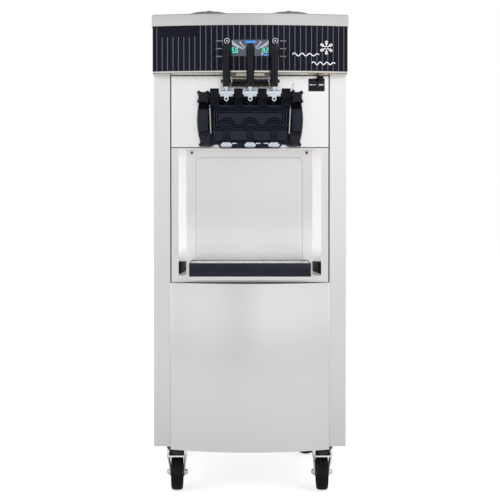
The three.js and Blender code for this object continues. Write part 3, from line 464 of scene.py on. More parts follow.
def pinstriped_black():
    """Glossy black panel printed with thin grey vertical lines, plain on one patch at the upper left."""
    material, tree, bsdf = shader("fascia_black", (0.004, 0.004, 0.008), roughness=0.13, specular=0.13)

    def node(operation, *values):
        return math_node(tree, operation, *values)

    x, _, z = axes(tree)
    pitch, half = STRIPE["pitch"], STRIPE["half"] / STRIPE["pitch"]
    bend = node("ARCSINE", node("MULTIPLY", x, 1 / (FASCIA_RADIUS * MM)))
    shift = 100.5 - STRIPE["start"] / pitch
    turns = node("ADD", node("MULTIPLY", bend, FASCIA_RADIUS / pitch), shift)
    offset = node("ABSOLUTE", node("SUBTRACT", node("FRACT", turns), 0.5))
    line = add_range(tree, offset, 1.0, 0.0, half * 0.7, half * 1.3)
    inside = node("MULTIPLY", node("GREATER_THAN", x, PLAIN_PATCH["left"] * MM),
                  node("LESS_THAN", x, PLAIN_PATCH["right"] * MM))
    patch = node("MULTIPLY", inside, node("GREATER_THAN", z, PLAIN_PATCH["low"] * MM))
    drawn = node("MULTIPLY", line, node("SUBTRACT", 1.0, patch))
    haze = add_noise(tree, (14, 14, 14), detail=3.0)
    ground = add_mix(tree, add_range(tree, haze, 0, 1), (0.002, 0.0025, 0.008), (0.004, 0.0045, 0.013))
    link(tree, add_mix(tree, drawn, ground, (0.16, 0.172, 0.215)), bsdf.inputs["Base Color"])
    link(tree, add_range(tree, haze, 0.10, 0.17), bsdf.inputs["Roughness"])
    return material


# Sheet metals: colour, roughness, grain, contrast, bump.
STEELS = {
    "cabinet_steel": (STEEL_COLOR, 0.26, VERTICAL_GRAIN, 0.015, 0.008),
    # A copy of the cabinet steel that gets painted shade below, darker towards the floor.
    "side_steel_painted_shade": (STEEL_COLOR, 0.26, VERTICAL_GRAIN, 0.015, 0.008),
    # A darker copy of the cabinet steel for the lower panel: painted shade.
    "panel_steel": ((0.74, 0.725, 0.715), 0.30, VERTICAL_GRAIN, 0.015, 0.008),
    # A darker copy of the cabinet steel, with level grain, for the top cover: painted shade.
    "header_steel": ((0.61, 0.595, 0.59), 0.28, HORIZONTAL_GRAIN, 0.015, 0.02),
    # A warmer, darker copy of the steel for the pan under the header: painted shade.
    "pan_steel": ((0.70, 0.68, 0.63), 0.26, HORIZONTAL_GRAIN, 0.03, 0.06),
    # A darker copy of the sheet for the recess's front flange: painted shade.
    "rim_steel": ((0.84, 0.83, 0.83), 0.28, VERTICAL_GRAIN, 0.01, 0.01),
    "frame_steel": ((0.66, 0.67, 0.68), 0.42, (200, 200, 200), 0.12),
    # A darker, warmer copy of the steel for the bracket's face: painted shade under the header.
    "bracket_steel_painted_shade": ((0.46, 0.43, 0.37), 0.30, HORIZONTAL_GRAIN, 0.10),
    # A near-black copy: painted shadow in the bracket's gap and on its hem.
    "bracket_painted_shadow": ((0.075, 0.062, 0.042), 0.30, HORIZONTAL_GRAIN, 0.15),
    "condenser_fins": ((0.6, 0.62, 0.64), 0.4, (40, 700, 40), 0.15),
}

# Bright metals: colour, roughness.
METALS = {
    "polished_steel": ((0.86, 0.87, 0.90), 0.12),
    "fork_steel": ((0.66, 0.73, 0.80), 0.16),
    "cap_steel": ((0.66, 0.73, 0.83), 0.14),
    "zinc": ((0.86, 0.89, 0.93), 0.24),
    "screw_dark": ((0.16, 0.14, 0.11), 0.35),
    "brass": ((0.62, 0.50, 0.33), 0.3),
    "slit_steel": ((0.62, 0.61, 0.59), 0.25),
}

# Plastics, rubber and paint: colour, roughness, texture, bump, specular.
PLASTICS = {
    "head_black": ((0.004, 0.0057, 0.0155), 0.32, 1200, 0.08, 0.28),
    "housing_black": ((0.002, 0.0025, 0.006), 0.35, 900, 0.1, 0.16),
    # Near-black for real joints and seals, and for dark pieces that stand in for shade: painted shade.
    "joint_and_shade_black": ((0.0012, 0.0012, 0.002), 0.6, 900, 0.05, 0.08),
    "knob_black": ((0.0035, 0.0045, 0.012), 0.40, 900, 0.12, 0.28),
    "grip_black": ((0.0018, 0.0022, 0.006), 0.20, 700, 0.03, 0.30),
    "lid_grey": ((0.05, 0.05, 0.052), 0.45),
    "tread_rubber": ((0.004, 0.004, 0.005), 0.45, 300, 0.5, 0.12),
    "wheel_core": ((0.016, 0.016, 0.018), 0.45, 600),
    "motor_paint": ((0.03, 0.033, 0.036), 0.4, 300, 0.2),
    "control_case": ((0.6, 0.6, 0.57), 0.45),
    "tray_black": ((0.004, 0.005, 0.012), 0.16, 60, 0.03, 0.3),
    "print_white": ((0.75, 0.76, 0.78), 0.5),
    "print_grey": ((0.16, 0.17, 0.20), 0.5),
}

# Lit marks: colour, strength.
SCREENS = {
    "screen_blue": ((0.10, 0.125, 0.18), 0.6),
    "screen_band": ((0.42, 0.47, 0.52), 0.8),
    "screen_white": ((0.9, 0.92, 1.0), 0.9),
    "screen_green": ((0.08, 0.95, 0.60), 1.1),
    "screen_cyan": ((0.03, 0.30, 0.85), 1.0),
    "screen_pink": ((0.85, 0.55, 0.62), 0.8),
}

LOOKS = {}
MAKERS = ((brushed_steel, STEELS), (polished_metal, METALS), (moulded_plastic, PLASTICS), (glow, SCREENS))
for make, table in MAKERS:
    for look, values in table.items():
        LOOKS[look] = make(look, *values)
# Painted shade: the side panels darken towards the floor.
shade_by_height(LOOKS["side_steel_painted_shade"], ((0.14, 0.66), (0.45, 0.84), (0.75, 0.93), (1.3, 0.93)))
LOOKS["recess_steel"] = recess_sheet()
LOOKS["wall_steel"] = satin_wall_painted_glow()
LOOKS["fascia_black"] = pinstriped_black()


# ---- bowed sheets of the header and the lower panel ----

HEADER_BOW = 32
LOWER_BOW = 44
HEADER_CORNER = 8


def bow_depth(x, half, edge, centre):
    sag = edge - centre
    radius = (half * half + sag * sag) / (2 * sag)
    return centre + radius - math.sqrt(radius * radius - x * x)


def bowed_plan(low, high, bow, corner, inset=0.0, back_inset=None, steps=72):
    """A plan with a bowed front between rounded corners and a square back."""
    half, centre = high.x - inset, low.y + inset
    edge = centre + bow
    rear = high.y - (inset if back_inset is None else back_inset)
    radius = max(corner - inset, 1.0)
    front = []
    for step in range(steps + 1):
        x = (half - radius) * (2 * step / steps - 1)
        front.append((x, bow_depth(x, half, edge, centre)))
    turn = bow_depth(half - radius, half, edge, centre)
    rounding = []
    for step in range(8):
        t = step / 8
        u = (1 - t) ** 2 * half + 2 * t * (1 - t) * half + t * t * (half - radius)
        v = (1 - t) ** 2 * (edge + radius) + 2 * t * (1 - t) * edge + t * t * turn
        rounding.append((u, v))
    left = [(-u, v) for u, v in rounding]
    return left + front + rounding[::-1] + [(half, rear), (-half, rear)]


def top_cover():
    """A bowed cover with a soft upper edge and a folded skirt, open over both hoppers."""
    low, high = span("top_cover")
    sheet, soft, rim = 1.5, 2.6, 4
    levels = [(low.z, 0), (high.z - soft, 0)]
    for degrees in (22, 45, 68, 90):
        angle = math.radians(degrees)
        levels.append((high.z - soft + soft * math.sin(angle), soft * (1 - math.cos(angle))))
    rings = [placed(bowed_plan(low, high, HEADER_BOW, HEADER_CORNER, inset), "z", z) for z, inset in levels]
    room = bowed_plan(low, high, HEADER_BOW, HEADER_CORNER, sheet)
    cuts = [prism(room, "z", low.z - 1, high.z - sheet)]
    for side, _ in SIDES:
        mouth = inset_rectangle(*span(f"hopper_{side}"), rim, 27)
        cuts.append(prism(mouth, "z", high.z - 5, high.z + 1))
    piece("top_cover_shell", loft(rings), "header_steel", "cabinet_steel", "top_cover", cut=cuts, smooth=30)


def header_fascia():
    """The bowed black band, with a window for the display."""
    low, high = span("header_fascia")
    lo, hi = span("display_module")
    wall = 3
    outer = prism(bowed_plan(low, high, HEADER_BOW, 6), "z", low.z, high.z)
    inner = prism(bowed_plan(low, high, HEADER_BOW, 6, wall, -1), "z", low.z - 1, high.z + 1)
    play = 0.4
    window = box(lo.x - play, hi.x + play, low.y - 5, hi.y, lo.z - play, hi.z + play)
    piece("fascia_panel", outer, "fascia_black", "fascia_black", "header_fascia", cut=[inner, window],
          smooth=30)


def header_base_pan():
    """The bowed pan that closes the header from below, and a dark strip round its lower edge: painted shade
    where the edge turns under.
    """
    low, high = span("header_base_pan")
    sheet = 1.5
    outer = prism(bowed_plan(low, high, HEADER_BOW, 6), "z", low.z, high.z)
    inner = prism(bowed_plan(low, high, HEADER_BOW, 6, sheet), "z", low.z + sheet, high.z + 1)
    piece("header_pan", outer, "pan_steel", "cabinet_steel", "header_base_pan", cut=[inner], smooth=30)
    # Painted shade: a thin dark strip round the pan's lower edge.
    shade_strip = prism(bowed_plan(low, high, HEADER_BOW, 6, -0.15, 0), "z", low.z + 0.1, low.z + 1.7)
    room = prism(bowed_plan(low, high, HEADER_BOW, 6, 0.6, -1), "z", low.z - 1, low.z + 3)
    piece("header_pan_edge_shade", shade_strip, "screw_dark", "cabinet_steel", cut=[room], smooth=30)


def lower_front_panel():
    """A bowed sheet with folded edges, a floor flange and a dark sheet just inside its top: painted shade in
    the gap behind the top edge.
    """
    low, high = span("lower_front_panel")
    sheet = 1.5
    half, centre, fold = high.x, low.y, high.y
    edge = centre + LOWER_BOW

    def line(reach, depth):
        steps = 96
        points = []
        for step in range(steps + 1):
            x = reach * (2 * step / steps - 1)
            points.append((x, bow_depth(x, half, edge + depth, centre + depth)))
        return points

    band = [(-half, fold)] + line(half, 0) + [(half, fold), (half - sheet, fold)]
    band += line(half - sheet, sheet)[::-1] + [(-half + sheet, fold)]
    flange = 25
    bottom = line(half - 1, 1) + [(half - 1, fold), (half - flange, fold)]
    bottom += line(half - flange, flange)[::-1] + [(-half + flange, fold), (-half + 1, fold)]
    piece("lower_panel", prism(band, "z", low.z, high.z), "panel_steel", "cabinet_steel", "lower_front_panel",
          join=[prism(bottom, "z", low.z, low.z + sheet)], bevel=0.5, segments=2, angle=60)
    # Painted shade: a dark sheet under the top edge, where the gap is in shadow.
    inside = half - 12
    plan = line(inside, 2.2) + [(inside, fold - 1), (-inside, fold - 1)]
    shade = prism(plan, "z", high.z - 5, high.z - 3.5)
    piece("panel_top_shade", shade, "joint_and_shade_black", "moulded_black")


def panel_seals():
    """Dark rubber edging in the joints beside the two flat front panels."""
    high = span("upper_front_panel")[1]
    foot = span("splash_recess")[0].z
    for side, sign in SIDES:
        x0, x1 = sorted((sign * (high.x - 1.2), sign * (high.x + 1.9)))
        strip = box(x0, x1, -0.3, 4, foot + 1, high.z + 1.5)
        piece(f"panel_seal_{side}", strip, "joint_and_shade_black", "cabinet_steel", bevel=0.2)


# ---- splash recess ----

RECESS = {"mouth": 198.5, "back": 185.5, "depth": 200, "floor": 615.7, "ceiling": 968.5}
PLATE = {"half": 157, "low": 640, "high": 950, "corner": 14}


def plate_outline(inset, corner):
    """The raised back plate's outline, smaller by an inset."""
    half = PLATE["half"] - inset
    return rounded_rectangle((-half, PLATE["low"] + inset), (half, PLATE["high"] - inset), corner)


def recess_liner():
    """A flange, a box that narrows towards its raised back plate, and a shelf with a lip."""
    low, high = span("splash_recess")
    mouth, back, depth, floor, ceiling = RECESS.values()
    sheet, shelf_half, lip_height = 1.5, 168, 9.7

    def plan(grow, front, rear):
        return [(-mouth - grow, front), (mouth + grow, front), (back + grow, rear), (-back - grow, rear)]

    flange = box(low.x, high.x, 0, sheet, low.z, high.z)
    shell = prism(plan(sheet, sheet / 2, depth + sheet), "z", floor - sheet, ceiling + sheet)
    cavity = prism(plan(0, -1, depth), "z", floor, ceiling)
    shelf = box(-shelf_half, shelf_half, low.y, sheet, floor - sheet, floor)
    lip = box(-shelf_half, shelf_half, low.y, low.y + sheet, floor - lip_height, floor)
    liner = built("recess_liner", flange, join=[shell], cut=[cavity])
    combine(liner, [shelf, lip], "UNION")
    rings = []
    for y, inset in ((depth + 0.5, 0), (depth - 0.1, 0.8), (depth - 0.7, 3.4), (depth - 0.9, 5.5)):
        rings.append(placed(plate_outline(inset, PLATE["corner"] - inset * 0.6), "y", y))
    combine(liner, [loft(rings)], "UNION")
    show(smoothed(liner, 30), "recess_steel", "cabinet", "splash_recess")
    liner.data.materials.append(LOOKS["wall_steel"])
    liner.data.materials.append(LOOKS["rim_steel"])
    # The side walls take the wall steel with its painted glow; the front faces take the rim steel, a darker
    # copy: painted shade.
    for face in liner.data.polygons:
        on_wall = (mouth + 1) * MM > abs(face.center.x) > (back - 1) * MM
        if abs(face.normal.x) > 0.9 and on_wall:
            face.material_index = 1
        elif face.center.y < FRONT + MM:
            face.material_index = 2


def recess_plate_edge():
    """A thin shaded line along the back plate's outline."""
    rings = []
    for rise, inset in ((0.2, 0.2), (1.0, 0.2), (1.0, 1.3), (0.2, 1.3)):
        rings.append(placed(plate_outline(inset, PLATE["corner"] - inset), "y", RECESS["depth"] - rise))
    piece("recess_plate_edge", loft(rings, closed=True), "frame_steel", "cabinet_steel", smooth=30)


def recess_screws():
    z, wall = 963, RECESS["depth"]
    profile = [(0, 0), (4.2, 0), (4.2, 1), (3.4, 2.4), (1.8, 3), (0, 3.1)]
    for side, sign in SIDES:
        x = sign * 169
        head = lathe([(radius, wall - rise) for radius, rise in profile], "y", (x, z), 24)
        slot = box(x - 2.4, x + 2.4, wall - 4, wall - 2.2, z - 0.5, z + 0.5)
        piece(f"recess_screw_{side}", head, "screw_dark", "cabinet_steel", cut=[slot])


def painted_tray_reflections():
    """Thin dark strips on the recess walls beside the tray, a little lower at the back: a painted reflection
    of the tray's sides in the walls.
    """
    for side, sign in SIDES:
        ends = []
        for y, wall, face, low, high in ((2, 198.2, 196.9, 619, 655), (186, 186.3, 185.0, 616.2, 645)):
            ends.append([(sign * wall, y, low), (sign * face, y, low), (sign * face, y, high),
                         (sign * wall, y, high)])
        piece(f"tray_guide_{side}", loft(ends), "joint_and_shade_black", "moulded_black", bevel=0.3)


# ---- dispensing head ----

VALVE_Y = -57
PIVOT_Y, PIVOT_Z = -86, 1110
COLUMN_X = {"left": -64.6, "center": 0.0, "right": 64.6}
KNOBS = {
    "upper_left": (-128, 1108), "upper_right": (128, 1108),
    "lower_left": (-123, 989.5), "lower_right": (123, 989.5),
}
ARCH = {"half": 100.8, "low": 1017.5, "high": 1077.3, "corner": 9, "radius": 13.7, "centre": 1023.8}
BLOCK_TOP, BLOCK_LOW, BLOCK_FACE = 1086, 990, -70.5
WING_REACH, WING_BULGE = 146, 13
HEAD_BACK, SKIRT_FRONT, FLANGE_FRONT = -7, -34, -36
STUD_HOLE, ROD_HOLE, VALVE_BORE = 5.6, 3.3, 11.3


def arched_outline(inset):
    """A rounded frame whose lower edge arches over the three valve columns."""
    half, low, high = ARCH["half"] - inset, ARCH["low"] + inset, ARCH["high"] - inset
    corner = max(ARCH["corner"] - inset * 0.5, 2)
    radius = ARCH["radius"] + inset
    points = arc((half - corner, high - corner), corner, 0, 90, 8)
    points += arc((-half + corner, high - corner), corner, 90, 180, 8)
    points += arc((-half + corner, low + corner), corner, 180, 270, 8)
    dip = math.degrees(math.asin((low - ARCH["centre"]) / radius))
    for x in COLUMN_X.values():
        points += arc((x, ARCH["centre"]), radius, 180 - dip, dip, 24)
    points += arc((half - corner, low + corner), corner, 270, 360, 8)
    return points


def wing_edge(z):
    """How far the side pad bulges out at a height."""
    return WING_REACH - WING_BULGE * ((z - 1047.5) / 74.5) ** 2


def wing_outline(sign, low, high, inner, inset):
    steps = 16
    heights = [low + (high - low) * step / steps for step in range(steps + 1)]
    outer = [(sign * (wing_edge(z) - inset), z) for z in heights]
    return [(sign * inner, low)] + outer + [(sign * inner, high)]


def lug_outline():
    """A round-nosed lug about the pivot, with shallow grooves across its front."""
    radius, groove = 19, 0.8
    nose = []
    for angle in range(0, 206, 3):
        on_groove = angle > 100 and abs((angle % 24) - 12) < 3
        nose += arc((PIVOT_Y, PIVOT_Z), radius - groove * on_groove, angle, angle, 1)[:1]
    back = PIVOT_Y + radius
    return nose + [(back - 16, 1086.5), (back - 1, 1075), (-50, 1075), (-50, 1082), (back, 1083)]


def head_wing(sign):
    """A side pad: a thin flange carrying a thicker rounded pad between the two knobs."""
    flange = prism(wing_outline(sign, 973, 1122, 104, 0), "y", FLANGE_FRONT, HEAD_BACK)
    pad = prism(wing_outline(sign, 1010, 1077, 113, 1.5), "y", -54, -30)
    return [built("wing_flange", flange, bevel=4, angle=50),
            built("wing_pad", pad, bevel=5.5, segments=5, angle=30)]


def head_plan():
    """The block's plan: square at the back, with rounded shoulders and front corners."""
    plan = [(-106, HEAD_BACK), (106, HEAD_BACK)]
    plan += arc((100, -48), 6, 0, -25, 3) + arc((96, BLOCK_FACE + 5), 5, -25, -90, 5)
    plan += arc((-96, BLOCK_FACE + 5), 5, -90, -155, 5) + arc((-100, -48), 6, -155, -180, 3)
    return plan


def head_black_block():
    """The block with its skirt, back wall, side pads, webs and lugs, bored for valves, studs and rod."""
    back, knob_room, knob_seat = HEAD_BACK, 26.5, -37.5
    block = built("head_body", prism(head_plan(), "z", BLOCK_LOW, BLOCK_TOP), bevel=2.0, angle=60)
    skirt = prism(rounded_rectangle((-88, 968.6), (88, 1006), 14), "y", SKIRT_FRONT, back)
    apron = box(-106, 106, SKIRT_FRONT, back, 979, 1006)
    wall = box(-108, 108, -22, back, BLOCK_TOP - 4, 1116)
    webs = [box(*sorted((sign * 100, sign * 112)), FLANGE_FRONT, back, low, top)
            for _, sign in SIDES for low, top in ((976, 1008), (1085, 1120))]
    combine(block, [skirt, apron, wall] + head_wing(-1) + head_wing(1) + webs, "UNION")
    columns, holes = [], []
    for x in COLUMN_X.values():
        columns.append(cylinder(14, "z", 977, BLOCK_LOW + 2, (x, VALVE_Y), 40))
        holes.append(cylinder(VALVE_BORE, "z", 976, 1088, (x, VALVE_Y), 40))
        holes.append(box(x - 20, x + 20, -60, -35, 1078, 1090))
        holes.append(cylinder(11.5, "y", -80, -58, (x, 1094.5), 40))
    for x, z in KNOBS.values():
        holes.append(cylinder(knob_room, "y", -120, knob_seat, (x, z), 64))
        holes.append(cylinder(STUD_HOLE, "y", -40, -5, (x, z), 24))
    combine(block, columns, "UNION")
    combine(block, holes, "DIFFERENCE")
    combine(block, [prism(lug_outline(), "x", x - 12, x + 12) for x in (-96.9, -32.3, 32.3, 96.9)], "UNION")
    combine(block, [cylinder(ROD_HOLE, "x", -130, 130, (PIVOT_Y, PIVOT_Z), 24)], "DIFFERENCE")
    soften(block, 0.7, 2, 50)
    show(smoothed(settle(block), 40), "head_black", "cabinet", "dispensing_head")
    block.data.materials.append(LOOKS["housing_black"])
    for face in block.data.polygons:
        if face.center.z > (BLOCK_TOP + 1) * MM and abs(face.center.x) < 0.11:
            face.material_index = 1


def valve_housings():
    """The domed columns in front of the valves, each with a cross groove and four fine ribs."""
    radius, centre_y, shoulder = 12.9, -62.5, 1020
    for side, x in COLUMN_X.items():
        dome = [(0, 987), (12.2, 987), (radius, 988), (radius, shoulder)]
        for degrees in (20, 40, 60, 78):
            angle = math.radians(degrees)
            dome.append((radius * math.cos(angle), shoulder + radius * math.sin(angle)))
        room = box(x - 20, x + 20, VALVE_Y - 2, -30, 980, 1040)
        grooves = [box(x - 6, x + 6, -80, -74.4, 1020.2, 1022.4),
                   box(x - 1.1, x + 1.1, -80, -74.2, 1013, 1029)]
        column = lathe(dome + [(0, 1033)], "z", (x, centre_y), 40)
        piece(f"valve_housing_{side}", column, "housing_black", "moulded_black", cut=[room] + grooves,
              bevel=0.3)
        for index, offset in enumerate((-8.4, -3.2, 3.2, 8.4)):
            depth = centre_y - math.sqrt(radius ** 2 - offset ** 2)
            rib = box(x + offset - 0.8, x + offset + 0.8, depth - 0.9, depth + 1.5, 1000.5, 1015.5)
            piece(f"valve_rib_{side}_{index}", rib, "knob_black", "moulded_black", bevel=0.3)


def head_trim():
    """Steel slits beside the block, and dark pads under the upper knobs that stand in for their shadow:
    painted shadow.
    """
    for side, sign in SIDES:
        slit = [(sign * 106.4, 1009), (sign * 108.8, 1009), (sign * 112.8, 1087), (sign * 109.6, 1087)]
        piece(f"head_slit_{side}", prism(slit, "y", -38.2, -35), "slit_steel", "polished_steel")
        # Painted shadow: a dark pad under each upper knob.
        pad = prism(wing_outline(sign, 1078, 1094, 112, 2.5), "y", -47, -35)
        piece(f"knob_pad_{side}", pad, "joint_and_shade_black", "moulded_black", bevel=2.5, angle=30)


def head_relief():
    """Two half-round ridges that run side by side around the block's face, on a dark strip that shows beside
    and between them: painted shade in the grooves.
    """
    steps, root = 8, BLOCK_FACE + 0.6
    # Painted shade: the dark strip under the ridges.
    shade_strip = [placed(arched_outline(inset), "y", y) for y, inset in (
        (root, 13.8), (root, -1.8), (BLOCK_FACE - 0.25, -1.8), (BLOCK_FACE - 0.25, 13.8))]
    piece("head_ridge_groove_shade", loft(shade_strip, closed=True), "joint_and_shade_black", "moulded_black", smooth=30)
    for name, start, end, rise in (("outer", 0.6, 5.0, 3.2), ("inner", 6.9, 11.5, 3.4)):
        rings = [placed(arched_outline(inset), "y", root) for inset in (end, start)]
        for step in range(steps + 1):
            angle = math.pi * step / steps
            inset = (start + end) / 2 - (end - start) / 2 * math.cos(angle)
            rings.append(placed(arched_outline(inset), "y", BLOCK_FACE - rise * math.sin(angle)))
        piece(f"head_ridge_{name}", loft(rings, closed=True), "head_black", "moulded_black", smooth=50)


def star_outline(half, waist, ear, steps=14):
    """Four ears on the diagonals with hollow sides between them."""
    sag = half - waist
    radius = (ear * ear + sag * sag) / (2 * sag)
    reach = math.degrees(math.asin(ear / radius))
    side = arc((0, waist + radius), radius, 270 + reach, 270 - reach, steps)
    points = []
    for quarter in range(4):
        angle = math.radians(90 * quarter)
        cos, sin = math.cos(angle), math.sin(angle)
        points += [(u * cos - v * sin, u * sin + v * cos) for u, v in side]
    return points


def star_knob(name):
    """A four-eared knob with a dished face and a hub. Each level is (depth from the seat, scale)."""
    x, z = KNOBS[name]
    seat = span(f"star_knob_{name}")[1].y
    half, waist, ear = 18.4, 13.2, 12.2
    levels = [(-5.7, 0.90), (-6.4, 0.965), (-8.0, 1.0), (-20.0, 1.0), (-21.8, 0.975), (-22.8, 0.93),
              (-23.2, 0.86), (-22.7, 0.55), (-22.4, 0.25)]
    outline = star_outline(half, waist, ear)
    rings = [[(x + u * scale, seat + depth, z + v * scale) for u, v in outline] for depth, scale in levels]
    hub = cylinder(12, "y", seat - 6.5, seat, (x, z), 40)
    bore = cylinder(STUD_HOLE, "y", seat - 19.7, seat + 1, (x, z), 24)
    piece(f"knob_{name}", loft(rings), "knob_black", "moulded_black", f"star_knob_{name}", f"knob_{name}",
          join=[hub], cut=[bore], smooth=50)


def draw_handle(side):
    """A steel fork on the pivot rod, its two slotted lifters and the black grip."""
    x = COLUMN_X[side]
    body = f"handle_{side}"
    pivot = (x, PIVOT_Y, PIVOT_Z)
    lean, droop = 9, 30
    hub = rounded_rectangle((PIVOT_Y - 10, PIVOT_Z - 4), (PIVOT_Y + 8, PIVOT_Z + 13.4), 3.5, 5)
    neck = turned(cylinder(5, "z", PIVOT_Z, PIVOT_Z + 68, (x, PIVOT_Y), 32), "x", lean, pivot)
    collar = turned(cylinder(6.2, "z", PIVOT_Z + 9, PIVOT_Z + 24.6, (x, PIVOT_Y), 32, 0.6), "x", lean, pivot)
    tab_end = arc((x, PIVOT_Z - 10.5), 6, 180, 360, 12)
    tab = prism(tab_end + [(x + 6, PIVOT_Z), (x - 6, PIVOT_Z)], "y", PIVOT_Y - 12, PIVOT_Y - 8)
    rib = box(x - 2, x + 2, PIVOT_Y - 12, PIVOT_Y, PIVOT_Z + 4, PIVOT_Z + 20)
    slots = [cylinder(3.1, "y", PIVOT_Y - 13, PIVOT_Y - 6, (x, PIVOT_Z - 10), 20),
             cylinder(ROD_HOLE, "x", x - 20, x + 20, (PIVOT_Y, PIVOT_Z), 24)]
    piece(f"fork_{side}", prism(hub, "x", x - 17, x + 17), "fork_steel", "polished_steel",
          f"draw_fork_{side}", body, join=[neck, collar, tab, rib], cut=slots, bevel=0.8, segments=2,
          angle=50)
    for sign in (-1, 1):
        inner, outer = sorted((x + sign * 12.5, x + sign * 16.5))
        bar = rounded_rectangle((PIVOT_Y + 4, PIVOT_Z - 6.5), (PIVOT_Y + 43, PIVOT_Z + 6.5), 6, 6)
        slot = rounded_rectangle((PIVOT_Y + 25, PIVOT_Z - 3.9), (PIVOT_Y + 37.5, PIVOT_Z + 3.9), 3.8, 6)
        prong = turned(prism(bar, "x", inner, outer), "x", -droop, pivot)
        opening = turned(prism(slot, "x", inner - 1, outer + 1), "x", -droop, pivot)
        piece(f"lifter_{side}_{'left' if sign < 0 else 'right'}", prong, "knob_black", "moulded_black",
              body=body, cut=[opening], bevel=0.6, segments=2)
    profile = [(0, 69), (5.2, 69), (5.2, 24.4), (8.6, 24.4), (9.9, 25.2), (10.5, 27), (10.5, 34), (10.3, 50),
               (10.5, 72), (10.9, 95), (11.4, 110), (11.55, 120), (11.3, 127), (10.3, 134), (8.4, 138),
               (5.0, 139.8), (0, 140)]
    grip = turned(lathe([(r, PIVOT_Z + h) for r, h in profile], "z", (x, PIVOT_Y), 48), "x", lean, pivot)
    piece(f"grip_{side}", grip, "grip_black", "grip_black", f"draw_grip_{side}", body, smooth=60)


def valve_plunger(side):
    """A grooved plunger with the cross pin that the lifters carry."""
    x = COLUMN_X[side]
    profile = [(0, 985), (10.2, 985), (10.9, 985.8), (10.9, 993), (9.2, 993.4), (9.2, 996.6), (10.9, 997),
               (10.9, 1099), (9.4, 1101.6), (0, 1102)]
    stem = lathe(profile, "z", (x, VALVE_Y), 40)
    pin = cylinder(3, "x", x - 17, x + 17, (VALVE_Y, 1093.3), 24, 0.5)
    piece(f"plunger_{side}", stem, "knob_black", "moulded_black", f"valve_plunger_{side}", f"plunger_{side}",
          join=[pin])


def nozzle_cap(side):
    """A round cap with a flat tab at one side."""
    x = COLUMN_X[side]
    sign = -1 if side == "right" else 1
    profile = [(8, 971), (10.4, 971), (12.6, 971.8), (14.6, 973.6), (16.2, 976.2), (17.2, 979),
               (17.4, 980.4), (17.1, 982.4), (16.2, 984), (15.2, 984.8), (14.4, 984.8), (14.4, 977.4),
               (12.5, 974.6), (8, 974.6), (8, 971)]
    root, end = x + sign * 16, x + sign * 29
    blade = [(root, 979.4), (root, 982.8), (end - sign * 3, 982.4), (end, 981.6), (end, 980.8),
             (end - sign * 3, 979.9)]
    tab = prism(blade, "y", VALVE_Y - 5, VALVE_Y + 5)
    piece(f"cap_{side}", lathe(profile, "z", (x, VALVE_Y), 48), "cap_steel", "polished_steel",
          f"nozzle_cap_{side}", join=[tab], bevel=0.4, segments=2, angle=60)


def pivot_rod():
    """The handles' rod: a headed pin whose far end bends up, with a bright sleeve on its tip."""
    low, high = span("pivot_rod")
    radius, bend, steps = 3, 9, 8
    end = high.x - radius
    path = [(low.x, PIVOT_Z)] + arc((end - bend, PIVOT_Z + bend), bend, -90, 0, steps) + [(end, high.z)]
    rings = []
    for i, (x, z) in enumerate(path):
        before, after = path[max(i - 1, 0)], path[min(i + 1, len(path) - 1)]
        dx, dz = after[0] - before[0], after[1] - before[1]
        length = math.hypot(dx, dz)
        ring = []
        for step in range(24):
            angle = 2 * math.pi * step / 24
            side, depth = radius * math.cos(angle), radius * math.sin(angle)
            ring.append((x - side * dz / length, PIVOT_Y + depth, z + side * dx / length))
        rings.append(ring)
    head = cylinder(5, "x", low.x, low.x + 4, (PIVOT_Y, PIVOT_Z), 32, 0.8)
    piece("hinge_rod", loft(rings), "knob_black", "polished_steel", "pivot_rod", join=[head], smooth=50)
    sleeve, foot = radius + 0.2, PIVOT_Z + 15
    profile = [(0, foot), (sleeve, foot), (sleeve, high.z - 1), (radius - 0.6, high.z), (0, high.z)]
    piece("rod_tip", lathe(profile, "z", (end - 0.2, PIVOT_Y), 24), "zinc", "polished_steel")


# ---- under the header ----

def stop_bar():
    """The round bar that stops the handles, and its bracket's two screws."""
    low, high = span("handle_stop_bar")
    centre = middle("handle_stop_bar")
    bar = cylinder(4.5, "x", low.x, high.x, (centre.y, centre.z), 32, 1.2)
    piece("stop_bar", bar, "knob_black", "moulded_black", "handle_stop_bar")
    for side, sign in SIDES:
        head = lathe([(0, -75.8), (4.4, -75.8), (4.4, -76.8), (3.2, -77.8), (0, -78.2)], "y",
                     (sign * 42.5, 1168), 20)
        piece(f"bracket_screw_{side}", head, "screw_dark", "cabinet_steel")


